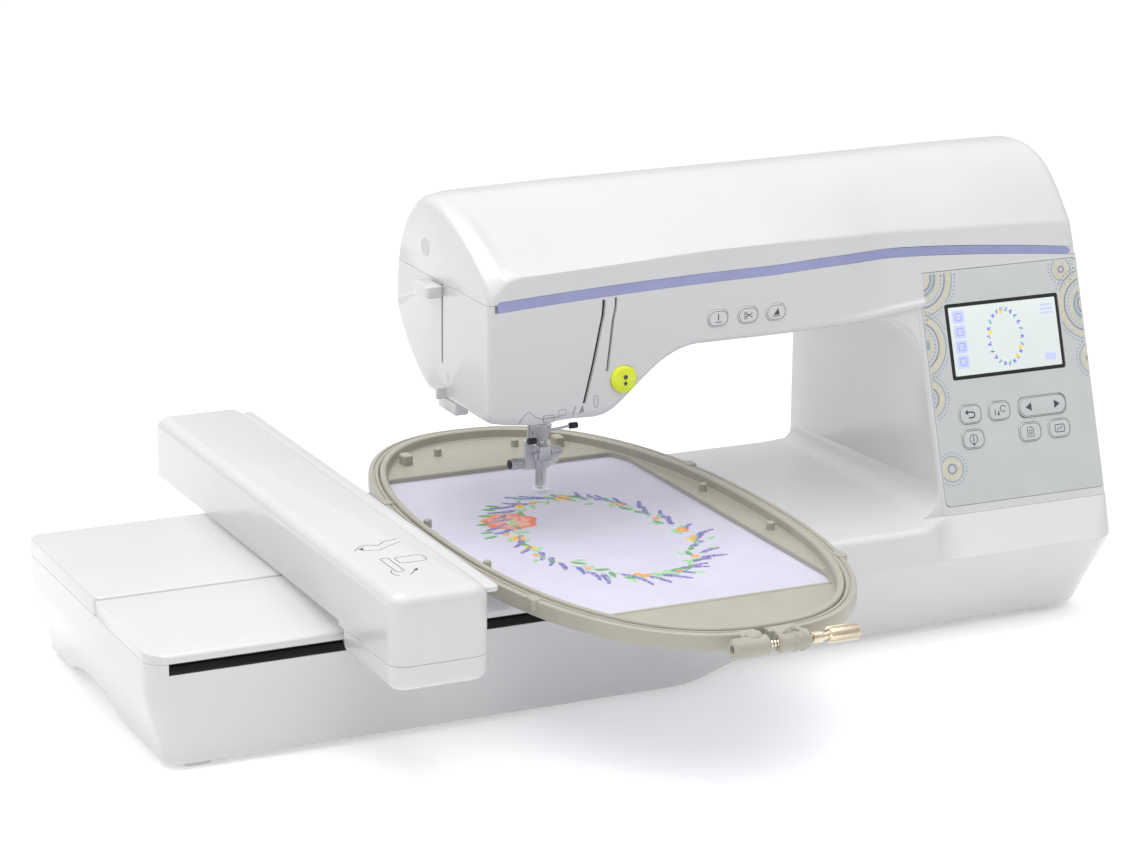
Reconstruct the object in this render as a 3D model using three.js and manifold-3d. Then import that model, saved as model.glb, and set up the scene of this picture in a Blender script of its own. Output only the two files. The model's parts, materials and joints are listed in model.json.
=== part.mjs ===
// Household embroidery machine: a free-arm machine with an embroidery unit, a carriage and a hoop.
// Millimetres, +Z up, +X to the operator's right, +Y to the back. The pieces are laid out from the
// front left foot of the embroidery unit, and the last lines move the origin to the middle of the
// underside of the whole machine.
import * as THREE from "three";
import { mergeVertices } from "three/addons/utils/BufferGeometryUtils.js";
import Module from "manifold-3d";

const wasm = await Module();
wasm.setup();

// ---- Driving dimensions ----
const GAP = 0.4; // between pieces that touch
const WALL = 3; // moulded casings
const BED_Z = 80; // top of the bed, the free arm and the needle plate
const BACK_Y = 231; // back of the machine
const LEFT_X = 236; // left face of the head
const RIGHT_X = 664; // right face of the machine
const UNIT_END_X = 430; // where the embroidery unit meets the machine's bed
const FREE_ARM = { front: 99, back: 229, floor: 24 };
const RIDGE_Y = 150;
const SHOULDER_Z = 231; // where the leaning front of the column reaches its station value
const LID_HINGE_Z = 250;
const STRIPE_HEIGHT = 5;
const COLUMN_X = 538; // left face of the column
const PANEL = { x: 541, y: 30, z: 85, width: 120, height: 150, lean: 17.7 };
const SHAFT = { y: 150, z: 226, radius: 5 };
const LOWER_SHAFT = { y: 160, z: 45, radius: 4 };
const MOTOR = { y: 150, z: 104, radius: 22 };
const NEEDLE = { x: 320.5, y: 165.5, tip: 85.6 };
const HOOK = { x: 320.5, y: 150, radius: 19 };
const UNIT = { back: 232, split: 95, rearLeftEnd: 232, slotLow: 60.1, slotHigh: 66.9, rearTop: 78.3 };
const CARRIAGE = { left: 113.5, right: 174, front: -85, back: 324, bottom: 80.7, top: 119, skirt: 62 };
const SKIRT_BACK = -3.4; // the overhang at the front ends just before the unit
const Y_RAIL = { x: 142, z: 98, radius: 4 };
const X_RAIL = { y: 22, z: 54, radius: 5 };
const HOOP = { x: 318, y: 73.5, bottom: 83, top: 93, halfWidth: 115, halfLength: 225, bow: 2.35 };
const WINDOW = { width: 171, length: 297, corner: 9 };
const CLAMP = { y: HOOP.y - 235, z: 89, radius: 2.2 };
const HOLDER = { front: 10, back: 78, armLow: 86.5, armHigh: 91.5 };
const LOCK = { x: 186, y: 62 };
const PLATE = { centre: [322, 152], width: 84, length: 98 };
const SWITCH = { y: 110, z: 46 };
const INLET = { y: 160, z: 46 };
const START_BUTTON = { x: 326, z: 185.5, radius: 8.5 };
const ARM_KEYS = [
  { name: "needle_position_key", x: 390.2 },
  { name: "thread_cut_key", x: 411.1 },
  { name: "foot_lift_key", x: 430.7 },
];
const ARM_KEY = { z: 217.3, width: 14, height: 10.5 };
const HANDWHEEL_HOLE = 7.5;
const FOOT_LEVER = { x: 300, z: 196, length: 42 };
const TAKE_UP = { y: 120, z: 214 };
const THREADER_SLOT = { y: 129.2, low: 188, high: 238.6, width: 4 };
const LCD = { x: -0.6, y: 104, width: 84.6, height: 48 };
const PANEL_KEYS = [
  { name: "back_key", x: -34, y: 57.1 },
  { name: "frame_key", x: -12.3, y: 57.1 },
  { name: "stitch_key", x: -34, y: 41.2 },
  { name: "list_key", x: 8.8, y: 41.2 },
  { name: "help_key", x: 31, y: 41.2 },
];
const PANEL_KEY = { width: 16.5, height: 12 };
const ROCKER = { name: "page_rocker", x: 20.3, y: 57.1, width: 36, height: 13 };
const KEY_PROUD = 0.8;
const COLUMN_PLATE = { from: 574, to: 588 };
const BELT = {
  from: 610,
  to: 618,
  timingFrom: 624,
  timingTo: 631,
  motorRadius: 9,
  shaftRadius: 18,
  timingRadius: 12,
  thickness: 1.6,
};

// The head and arm from left to right: the front near its lower edge and at shoulder height, the
// underside, back and top, the height and slope (degrees) where the lid starts to lean back, and
// the size of the rounding between back and underside.
const ARM_STATIONS = [
  { x: LEFT_X, front: [64, 64], low: 168, back: 197, top: 286.5, crease: 246, slope: 55, corner: [58, 38] },
  { x: 244, front: [60, 60], low: 165, back: 212, top: 288, crease: 250, slope: 40, corner: [56, 36] },
  { x: 262, front: [60, 60], low: 162, back: 226, top: 289, crease: 255.6, slope: 24, corner: [50, 30] },
  { x: 290, front: [60, 60], low: 162, back: 231, top: 289.8, crease: 256.6, slope: 23, corner: [36, 24] },
  { x: 317, front: [60, 60], low: 163, back: 231, top: 290.4, crease: 257.5, slope: 23, corner: [24, 18] },
  { x: 337, front: [60, 60], low: 180.6, back: 231, top: 290.6, crease: 258.6, slope: 24, corner: [14, 12] },
  { x: 354, front: [60, 60], low: 194.6, back: 231, top: 290.8, crease: 259.3, slope: 24, corner: [10, 10] },
  { x: 371, front: [60, 60], low: 201.5, back: 231, top: 291, crease: 260, slope: 25, corner: [10, 10] },
  { x: 430, front: [60, 60], low: 201.5, back: 231, top: 291.4, crease: 260.8, slope: 26, corner: [10, 10] },
  { x: 490, front: [64, 68], low: 201.5, back: 231, top: 291.8, crease: 257.2, slope: 34, corner: [10, 10] },
  { x: 520, front: [66.5, 75], low: 204.5, back: 231, top: 292.2, crease: 255.4, slope: 38, corner: [8, 8] },
  { x: 549, front: [68, 76.6], low: 206, back: 231, top: 292.5, crease: 253.8, slope: 42, corner: [6, 6] },
];

// ---- Colours ----
const finishes = {
  white: { color: 0xf1f2f4, roughness: 0.28, metalness: 0 },
  lavender: { color: 0x8e93be, roughness: 0.4, metalness: 0 },
  silver: { color: 0xc9cbcc, roughness: 0.4, metalness: 0.2 },
  black: { color: 0x17181a, roughness: 0.45, metalness: 0 },
  taupe: { color: 0xaaa696, roughness: 0.5, metalness: 0 },
  lime: { color: 0xe1eb1e, roughness: 0.35, metalness: 0 },
  steel: { color: 0xb9bcc0, roughness: 0.3, metalness: 1 },
  castMetal: { color: 0x8d9093, roughness: 0.6, metalness: 0.8 },
  nickel: { color: 0xd8cdb4, roughness: 0.35, metalness: 1 },
  rubber: { color: 0x2a2b2c, roughness: 0.9, metalness: 0 },
  board: { color: 0x2f6b45, roughness: 0.6, metalness: 0 },
  cloth: { color: 0xefeef6, roughness: 0.95, metalness: 0 },
};

// ---- Solids: three.js geometry in, manifold out ----
function solid(geometry) {
  const loose = geometry.index ? geometry.toNonIndexed() : geometry.clone();
  loose.deleteAttribute("normal");
  loose.deleteAttribute("uv");
  const merged = mergeVertices(loose, 1e-4);
  return new wasm.Manifold(
    new wasm.Mesh({
      numProp: 3,
      vertProperties: merged.attributes.position.array,
      triVerts: new Uint32Array(merged.index.array),
    }),
  );
}

const join = (first, ...rest) => rest.reduce((sum, next) => sum.add(next), first);
const cut = (first, ...rest) => rest.reduce((left, next) => left.subtract(next), first);

function box(x, y, z) {
  const geometry = new THREE.BoxGeometry(x[1] - x[0], y[1] - y[0], z[1] - z[0]);
  geometry.translate((x[0] + x[1]) / 2, (y[0] + y[1]) / 2, (z[0] + z[1]) / 2);
  return solid(geometry);
}

// A round bar along "x", "y" or "z", from one end to the other, centred on the other two coordinates.
function bar(axis, centre, from, to, radius, sides = 20) {
  const geometry = new THREE.CylinderGeometry(radius, radius, to - from, sides);
  const middle = (from + to) / 2;
  if (axis === "x") geometry.rotateZ(Math.PI / 2).translate(middle, centre[0], centre[1]);
  if (axis === "y") geometry.translate(centre[0], middle, centre[1]);
  if (axis === "z") geometry.rotateX(Math.PI / 2).translate(centre[0], centre[1], middle);
  return solid(geometry);
}

// An outline of [u, v] points pushed along an axis: (y, z) along x, (x, z) along y, (x, y) along z.
function prism(axis, outline, from, to) {
  const shape = new THREE.Shape(outline.map(([u, v]) => new THREE.Vector2(u, v)));
  const geometry = new THREE.ExtrudeGeometry(shape, { depth: to - from, bevelEnabled: false });
  if (axis === "x") geometry.rotateX(Math.PI / 2).rotateZ(Math.PI / 2).translate(from, 0, 0);
  if (axis === "y") geometry.rotateX(Math.PI / 2).translate(0, to, 0);
  if (axis === "z") geometry.translate(0, 0, from);
  return solid(geometry);
}

// Skins a row of rings that have the same number of points, and closes both ends. `flat` names the
// two coordinates in which the rings are outlines.
function loft(rings, flat) {
  const contourOf = (ring) => ring.map((point) => new THREE.Vector2(point[flat[0]], point[flat[1]]));
  const clockwise = THREE.ShapeUtils.isClockWise(contourOf(rings[0]));
  const rows = clockwise ? rings.map((ring) => ring.toReversed()) : rings;
  const count = rows[0].length;
  const triangles = [];
  for (let i = 0; i + 1 < rows.length; i++) {
    for (let j = 0; j < count; j++) {
      const next = (j + 1) % count;
      triangles.push([rows[i][j], rows[i][next], rows[i + 1][next]]);
      triangles.push([rows[i][j], rows[i + 1][next], rows[i + 1][j]]);
    }
  }
  const first = rows[0];
  const last = rows[rows.length - 1];
  for (const [a, b, c] of THREE.ShapeUtils.triangulateShape(contourOf(first), [])) {
    triangles.push([first[a], first[c], first[b]]);
  }
  for (const [a, b, c] of THREE.ShapeUtils.triangulateShape(contourOf(last), [])) {
    triangles.push([last[a], last[b], last[c]]);
  }
  const build = (faces) => {
    const geometry = new THREE.BufferGeometry();
    geometry.setAttribute("position", new THREE.Float32BufferAttribute(faces.flat(2), 3));
    return solid(geometry);
  };
  const made = build(triangles);
  return made.volume() > 0 ? made : build(triangles.map((face) => face.toReversed()));
}

function ease(value, from, to) {
  const share = Math.min(1, Math.max(0, (value - from) / (to - from)));
  return share * share * (3 - 2 * share);
}

const mix = (a, b, share) => a + (b - a) * share;

function roundedRectangle(centre, width, height, radius, steps = 4) {
  const points = [];
  const corners = [[1, 1], [-1, 1], [-1, -1], [1, -1]];
  corners.forEach(([sx, sy], quarter) => {
    for (let i = 0; i <= steps; i++) {
      const angle = ((quarter + i / steps) * Math.PI) / 2;
      points.push([
        centre[0] + sx * (width / 2 - radius) + radius * Math.cos(angle),
        centre[1] + sy * (height / 2 - radius) + radius * Math.sin(angle),
      ]);
    }
  });
  return points;
}

// The bowed outline of the hoop, a superellipse.
function bowedOutline(halfWidth, halfLength, steps = 48) {
  const power = 2 / HOOP.bow;
  return Array.from({ length: steps }, (_, i) => {
    const angle = (i / steps) * 2 * Math.PI;
    const across = Math.sign(Math.cos(angle)) * Math.abs(Math.cos(angle)) ** power;
    const along = Math.sign(Math.sin(angle)) * Math.abs(Math.sin(angle)) ** power;
    return [HOOP.x + halfWidth * across, HOOP.y + halfLength * along];
  });
}

// ---- The scene graph ----
const machine = new THREE.Group();

function piece(name, finish, shape, parent = machine) {
  const mesh = shape.getMesh();
  const geometry = new THREE.BufferGeometry();
  geometry.setAttribute("position", new THREE.BufferAttribute(mesh.vertProperties, 3));
  geometry.setIndex(new THREE.BufferAttribute(mesh.triVerts, 1));
  geometry.computeVertexNormals();
  const made = new THREE.Mesh(geometry, new THREE.MeshStandardMaterial(finishes[finish]));
  made.name = name;
  parent.add(made);
  return made;
}

// ---- Upper casings: arm, head and column, cut from one lofted shell ----
// Height of the seam under the stripe: it rises from the head and falls again towards the right.
function seamZ(x) {
  const peak = { x: 445, z: 240.8 };
  const fall = x < peak.x ? 6.2 * ((peak.x - x) / 203) ** 2 : 10.6 * ((x - peak.x) / 210) ** 2;
  return peak.z - fall;
}

// The leaning front of the column, which holds the control panel.
const panelY = (z) => PANEL.y + (z - PANEL.z) * Math.tan((PANEL.lean * Math.PI) / 180);

// A cubic Bezier curve between two [y, z] points, without its first point.
function curve(from, leaving, arriving, to, steps) {
  return Array.from({ length: steps }, (_, i) => {
    const t = (i + 1) / steps;
    const weights = [(1 - t) ** 3, 3 * (1 - t) ** 2 * t, 3 * (1 - t) * t ** 2, t ** 3];
    const points = [from, leaving, arriving, to];
    return [0, 1].map((k) => points.reduce((sum, point, j) => sum + weights[j] * point[k], 0));
  });
}

// One (y, z) section of the arm or column, set in by `inset`: an upright or leaning front up to the
// crease, the lid's slope up to the ridge, and a rounded back.
function armSection(x, station, inset) {
  const { low, front, back, top, crease, slope, corner } = station;
  const backPower = 0.9;
  const cornerPower = 1.35;
  const backZ = 219;
  const lean = (front[1] - front[0]) / (SHOULDER_Z - low);
  const frontAt = (z) => front[0] + (z - low) * lean + inset;
  const points = [[front[0] + inset + 3, low + inset], [frontAt(low + 4), low + inset + 4]];
  const start = [frontAt(crease - inset), crease - inset];
  const rise = THREE.MathUtils.degToRad(slope);
  const leaving = [start[0] + 28 * Math.cos(rise), start[1] + 28 * Math.sin(rise)];
  const ridge = [RIDGE_Y, top - inset];
  points.push(start, ...curve(start, leaving, [RIDGE_Y - 24, top - inset], ridge, 6));
  for (let i = 1; i <= 6; i++) {
    const angle = (i / 6) * (Math.PI / 2);
    points.push([
      RIDGE_Y + (back - inset - RIDGE_Y) * Math.sin(angle) ** backPower,
      backZ + (top - inset - backZ) * Math.cos(angle) ** backPower,
    ]);
  }
  for (let i = 0; i <= 4; i++) {
    const angle = (i / 4) * (Math.PI / 2);
    points.push([
      back - inset - corner[0] * (1 - Math.cos(angle) ** cornerPower),
      low + inset + corner[1] * (1 - Math.sin(angle) ** cornerPower),
    ]);
  }
  return points.map(([y, z]) => [x, y, z]);
}

function armStations(inset) {
  return ARM_STATIONS.map((station, i) => armSection(i ? station.x : LEFT_X + inset, station, inset));
}

// The column stands on the bed; its inside is open at the bottom.
function columnStations(inset) {
  const low = BED_Z + GAP - (inset ? 2 * WALL + inset : 0);
  const shape = { low, back: BACK_Y, top: 293, crease: 252, slope: 46, corner: [2, 2] };
  const row = { ...shape, front: [panelY(low), panelY(SHOULDER_Z)] };
  const end = { ...shape, front: row.front.map((y) => y + 5), back: BACK_Y - 5, top: 290, crease: 250 };
  return [
    armSection(COLUMN_X + inset, row, inset),
    armSection(RIGHT_X - 7, row, inset),
    armSection(RIGHT_X - inset, end, inset),
  ];
}

function upperBody(inset) {
  return join(loft(armStations(inset), [1, 2]), loft(columnStations(inset), [1, 2]));
}

// Everything in front view above a curve that follows the seam at `lift` over it.
function aboveSeam(lift, from = 200, to = 700) {
  const steps = 8;
  const seam = Array.from({ length: steps + 1 }, (_, i) => {
    const x = mix(from, to, i / steps);
    return [x, seamZ(x) + lift];
  });
  return prism("y", [...seam, [to, 320], [from, 320]], 0, 300);
}

const panelFrame = new THREE.Group();
panelFrame.position.set(PANEL.x + PANEL.width / 2, PANEL.y, PANEL.z);
panelFrame.rotation.x = THREE.MathUtils.degToRad(90 - PANEL.lean);
machine.add(panelFrame);

function panelToMachine(shape) {
  return shape
    .rotate([90 - PANEL.lean, 0, 0])
    .translate([PANEL.x + PANEL.width / 2, PANEL.y, PANEL.z]);
}

function makeUpperCasings() {
  const outer = upperBody(0);
  const inner = upperBody(WALL);
  const needleOpening = box([288, 352], [136, 200], [150, 200]);
  const shaftHole = bar("x", [SHAFT.y, SHAFT.z], 655, 670, HANDWHEEL_HOLE);
  const leverHole = bar("y", [FOOT_LEVER.x, FOOT_LEVER.z], 222, 236, 4);
  const panelOpening = panelToMachine(
    box([-PANEL.width / 2, PANEL.width / 2], [0, PANEL.height], [-9, 9]),
  );
  const armKeyHoles = ARM_KEYS.map((key) =>
    prism("y", roundedRectangle([key.x, ARM_KEY.z], ARM_KEY.width + 1, ARM_KEY.height + 1, 5), 50, 70),
  );
  const startHole = bar("y", [START_BUTTON.x, START_BUTTON.z], 50, 70, START_BUTTON.radius + GAP);
  const holes = [needleOpening, shaftHole, leverHole, panelOpening, startHole, ...armKeyHoles];
  const shell = cut(outer, inner, ...holes);

  const aboveStripe = aboveSeam(GAP + STRIPE_HEIGHT);
  const behindStripe = box([0, 700], [100, 300], [0, 320]);
  const stripeZone = cut(aboveSeam(GAP, 242, 657), aboveStripe, behindStripe);
  const lidZone = aboveSeam(2 * GAP + STRIPE_HEIGHT);
  const faceEnd = LEFT_X + WALL + 0.6;
  const faceZone = box([200, faceEnd], [0, 300], [0, 320]);
  const frontZone = box([faceEnd + GAP, 700], [0, RIDGE_Y - GAP / 2], [0, 320]);
  const rearZone = box([faceEnd + GAP, 700], [RIDGE_Y + GAP / 2, 300], [0, 320]);
  const stripeSeat = aboveSeam(0, 241.6, 657.4).subtract(aboveStripe);
  const underLid = aboveSeam(-400).subtract(aboveStripe);
  const threaderSlot = box(
    [230, 245],
    [THREADER_SLOT.y - THREADER_SLOT.width / 2, THREADER_SLOT.y + THREADER_SLOT.width / 2],
    [THREADER_SLOT.low, THREADER_SLOT.high],
  );

  const frontCasing = shell.intersect(frontZone).intersect(underLid).subtract(stripeSeat);
  piece("front_casing", "white", frontCasing);
  piece("rear_casing", "white", shell.intersect(rearZone).intersect(underLid));
  piece("face_cover", "white", outer.intersect(faceZone).intersect(underLid).subtract(threaderSlot));
  piece("accent_stripe", "lavender", shell.intersect(stripeZone));
  piece("top_lid", "white", cut(outer, inner).intersect(lidZone));
  const trayZone = box([LEFT_X + 8, 655], [98, 216], [LID_HINGE_Z - 3, LID_HINGE_Z - 0.5]);
  piece("spool_tray", "white", upperBody(WALL + 1).intersect(trayZone));
}

makeUpperCasings();

// ---- Control panel ----
function makeControlPanel() {
  const edge = { width: PANEL.width - 2 * GAP, height: PANEL.height - 2 * GAP };
  const overlayEdge = roundedRectangle([0, PANEL.height / 2], edge.width, edge.height, 4);
  const keyHole = ({ x, y, width = PANEL_KEY.width, height = PANEL_KEY.height }) =>
    prism("z", roundedRectangle([x, y], width + 2 * GAP, height + 2 * GAP, 5), -5, 3);
  const screenEdge = roundedRectangle([LCD.x, LCD.y], LCD.width + 1, LCD.height + 1, 1.5);
  const holes = [prism("z", screenEdge, -5, 3), ...[...PANEL_KEYS, ROCKER].map(keyHole)];
  const overlay = cut(prism("z", overlayEdge, -2, 0), ...holes);
  piece("panel_overlay", "silver", overlay, panelFrame);
  const screen = prism("z", roundedRectangle([LCD.x, LCD.y], LCD.width, LCD.height, 1.2), -7, -0.1);
  piece("lcd_module", "black", screen, panelFrame);
  for (const key of [...PANEL_KEYS, ROCKER]) {
    const { name, x, y, width = PANEL_KEY.width, height = PANEL_KEY.height } = key;
    const cap = prism("z", roundedRectangle([x, y], width, height, 4.8), -3.4, KEY_PROUD);
    piece(name, "silver", cap, panelFrame);
  }
  piece("control_board", "board", box([-55, 55], [22, 140], [-12.6, -11]), panelFrame);
}
makeControlPanel();

// ---- Buttons on the head and arm ----
function makeArmButtons() {
  const start = bar("y", [START_BUTTON.x, START_BUTTON.z], 57.6, 63.4, START_BUTTON.radius, 28);
  piece("start_stop_button", "lime", start);
  for (const { name, x } of ARM_KEYS) {
    const outline = roundedRectangle([x, ARM_KEY.z], ARM_KEY.width, ARM_KEY.height, 4.8);
    piece(name, "white", prism("y", outline, 59.2, 65.5));
  }
}
makeArmButtons();

// ---- Base: bed, free arm and the embroidery unit share one front line ----
// The height of the crease in the front wall: below it the wall leans inwards, above it is upright.
const creaseZ = (x) => mix(47.6, 57.5, ease(x, 210, 450));
// Under the panel the wall leans back from the crease to the foot of the column.
const APRON = { low: 58, depth: 19.2 };
const apronShare = (x) => ease(x, 512, 546);

// How far back the front wall stands at a height: the machine's base is undercut more than the unit's.
function frontY(x, z) {
  const low = mix(5, 37, ease(x, 335, 412)) + 5 * ease(x, 412, 634);
  const high = mix(0, 9, ease(x, 330, 440));
  const wall = mix(low, high, Math.min(1, Math.max(0, z / creaseZ(x))) ** 1.1);
  const climb = Math.max(0, z - APRON.low) / (BED_Z - APRON.low);
  return wall + APRON.depth * climb * apronShare(x);
}

const BASE_LEVELS = [[3, 0], [20, 0], [40, 0], [57, 0], [76, 0.6], [BED_Z, 5]];

// Plan outline of the machine's base at one height. `pull` rounds the top edge left of the column.
function bedOutline(z, inset, pull = 0) {
  const left = UNIT_END_X + GAP + inset;
  const pulled = (x) => inset + pull * (1 - apronShare(x));
  const front = [left, 470, 512, 524, 535, 546, 580, 620].map((x) => [x, frontY(x, z) + pulled(x)]);
  const right = RIGHT_X - inset - 6 * (1 - Math.min(1, z / 50));
  const climb = Math.max(0, z - APRON.low) / (BED_Z - APRON.low);
  const radius = mix(24, 6, Math.min(1, climb));
  const start = frontY(640, z) + inset;
  const corner = [
    [right - 0.75 * radius, start + 0.125 * radius],
    [right - 0.21 * radius, start + 0.46 * radius],
    [right, start + radius],
  ];
  const back = [
    [right, 218],
    [right - 12, BACK_Y - inset],
    [546, BACK_Y - inset],
    [512, BACK_Y - pulled(512)],
    [left, BACK_Y - pulled(left)],
  ];
  const outline = [...front, ...corner, ...back];
  return outline.map(([x, y]) => [x, y, z]);
}

function makeBase() {
  const outer = loft(BASE_LEVELS.map(([z, pull]) => bedOutline(z, 0, pull)), [0, 1]);
  const inner = loft([-2, 20, 40, 57, BED_Z - WALL].map((z) => bedOutline(z, WALL)), [0, 1]);
  const armEnd = UNIT_END_X + 10;
  const arm = box([LEFT_X + 2, armEnd], [FREE_ARM.front, FREE_ARM.back], [FREE_ARM.floor, BED_Z]);
  const armInside = box(
    [LEFT_X + 2 + WALL, armEnd],
    [FREE_ARM.front + WALL, FREE_ARM.back - WALL],
    [FREE_ARM.floor + WALL, BED_Z - WALL],
  );
  const columnHole = box([COLUMN_X + 6, RIGHT_X - 6], [44, BACK_Y - 8], [BED_Z - 6, BED_Z + 1]);
  const plateOutline = (extra, radius) =>
    roundedRectangle(PLATE.centre, PLATE.width + extra, PLATE.length + extra, radius);
  const plateSeat = prism("z", plateOutline(2 * GAP, 6), BED_Z - 1.6, BED_Z + 1);
  const plateHole = prism("z", plateOutline(-8, 4), BED_Z - 6, BED_Z + 1);
  const switchHole = box([655, 670], [SWITCH.y - 10, SWITCH.y + 10], [SWITCH.z - 7, SWITCH.z + 7]);
  const inletHole = box([650, 670], [INLET.y - 14.4, INLET.y + 14.4], [INLET.z - 10.4, INLET.z + 10.4]);
  const holes = [columnHole, plateSeat, plateHole, switchHole, inletHole];
  piece("base_casing", "white", cut(join(outer, arm), inner, armInside, ...holes));
  const plateEdge = bedOutline(12, WALL + 9).map(([x, y]) => [x, y]);
  piece("base_plate", "silver", prism("z", plateEdge, 3.2, 5.6));
}

makeBase();

function makeElectrics() {
  const rocker = box([657.5, 665.6], [SWITCH.y - 9, SWITCH.y + 9], [SWITCH.z - 6, SWITCH.z + 6]);
  piece("power_switch", "black", rocker);
  const body = box([634, 663.6], [INLET.y - 14, INLET.y + 14], [INLET.z - 10, INLET.z + 10]);
  const socket = box([642, 670], [INLET.y - 10, INLET.y + 10], [INLET.z - 6.5, INLET.z + 6.5]);
  piece("power_inlet", "black", body.subtract(socket));
}
makeElectrics();

function makeFeet() {
  const places = [
    ["machine_foot_front", 628, 64],
    ["machine_foot_rear", 628, 212],
  ];
  for (const [name, x, y] of places) piece(name, "rubber", bar("z", [x, y], 0, 2.7, 9, 16));
}
makeFeet();

// ---- Embroidery unit ----
const UNIT_LEVELS = [[3, 11], [12, 7], [28, 3], [48, 0], [67, 0]];
const UNIT_INSIDE_LEVELS = [[6, 10], [12, 7], [28, 3], [48, 0], [75, 0]];
const UNIT_ARCH = [[88, -1], [97, 10], [112, 14.5], [156, 13.5], [190, -1]]; // under the left side

// Plan outline of the unit at one height: a long front limb and a rear limb left of the free arm.
function unitOutline(z, curl, inset) {
  const left = curl + inset;
  const right = UNIT_END_X - inset;
  const notch = FREE_ARM.front - 2 * GAP - inset;
  const front = [12, 160, 330, 350, 370, 390, 412].map((x) => [x + left, frontY(x + left, z) + inset]);
  const frontLeft = [[left, frontY(0, z) + 12 + inset], [left + 3.5, frontY(0, z) + 3.5 + inset]];
  const rest = [
    [right, frontY(UNIT_END_X, z) + inset],
    [right, notch],
    [UNIT.rearLeftEnd - inset, notch],
    [UNIT.rearLeftEnd - inset, UNIT.back - inset],
    [left + 6, UNIT.back - inset],
    [left, UNIT.back - 6 - inset],
  ];
  const frontInside = front.filter(([x]) => x < right - 1);
  return [...frontLeft, ...frontInside, ...rest].map(([x, y]) => [x, y, z]);
}

function makeUnitCase() {
  const outer = loft(UNIT_LEVELS.map(([z, curl]) => unitOutline(z, curl, 0)), [0, 1]);
  const inside = loft(UNIT_INSIDE_LEVELS.map(([z, curl]) => unitOutline(z, curl, WALL)), [0, 1]);
  const archRoof = box([0, 52], [84, 194], [0, 17.5]);
  const slot = box([12, 424], [-10, 12], [UNIT.slotLow, 80]);
  const arch = prism("x", UNIT_ARCH, -5, 48);
  const pads = [[24, 10], [24, 204]].map(([x, y]) => box([x, x + 16], [y, y + 20], [0, 4]));
  piece("unit_case", "white", join(cut(outer, inside.subtract(archRoof), slot, arch), ...pads));
}
makeUnitCase();

function makeUnitPanels() {
  const low = UNIT.slotHigh + GAP;
  const nose = [[-1, low], [-1, 68.5], [4, 72.2], [12, 73.4], [UNIT.split, 78], [UNIT.split, low]];
  const inside = { back: UNIT.split - WALL, low: low - 2 };
  const noseInside = [
    [WALL, inside.low],
    [WALL, 69],
    [12, 70.6],
    [inside.back, 75],
    [inside.back, inside.low],
  ];
  const plan = unitOutline(low, 0, 0).map(([x, y]) => [x, y]);
  const front = prism("x", nose, -1, UNIT_END_X + 1);
  const frontInside = prism("x", noseInside, WALL, UNIT_END_X - WALL);
  const frontShell = front.subtract(frontInside).intersect(prism("z", plan, 60, 90));
  piece("unit_front_panel", "white", frontShell);
  const rearStart = UNIT.split + GAP;
  const rearOutline = (inset) => [
    [inset, rearStart + inset],
    [UNIT.rearLeftEnd - inset, rearStart + inset],
    [UNIT.rearLeftEnd - inset, UNIT.back - inset],
    [6 + inset, UNIT.back - inset],
    [inset, UNIT.back - 6 - inset],
  ];
  const rear = prism("z", rearOutline(0), low, UNIT.rearTop);
  const rearInside = prism("z", rearOutline(WALL), low - 2, UNIT.rearTop - WALL);
  piece("unit_rear_panel", "white", rear.subtract(rearInside));
  const rail = bar("x", [X_RAIL.y, X_RAIL.z], 8, 422, X_RAIL.radius, 16);
  const brackets = [[8, 14], [416, 422]].map((x) => box(x, [17, 30], [47.5, 62]));
  piece("unit_x_rail", "steel", join(rail, ...brackets));
}
makeUnitPanels();

// ---- Carriage ----
function carriageEnd(y, pull, bottom, inset) {
  const left = CARRIAGE.left + pull + inset;
  const right = CARRIAGE.right - pull - inset;
  const top = CARRIAGE.top - pull * 0.6 - inset;
  const radius = 9;
  const points = [[left, bottom]];
  for (const [side, sign] of [[left, 1], [right, -1]]) {
    for (let i = 0; i <= 3; i++) {
      const angle = ((sign > 0 ? i : 3 - i) / 3) * (Math.PI / 2);
      points.push([side + sign * radius * (1 - Math.cos(angle)), top - radius * (1 - Math.sin(angle))]);
    }
  }
  points.push([right, bottom]);
  return points.map(([x, z]) => [x, y, z]);
}

function carriageLoft(from, to, bottom, inset) {
  const front = from + inset;
  const back = to - inset;
  const ends = [[front, 6], [front + 2, 2.5], [front + 7, 0], [back - 7, 0], [back - 2, 2.5], [back, 6]];
  return loft(ends.map(([y, pull]) => carriageEnd(y, pull, bottom, inset)), [0, 2]);
}

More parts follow.
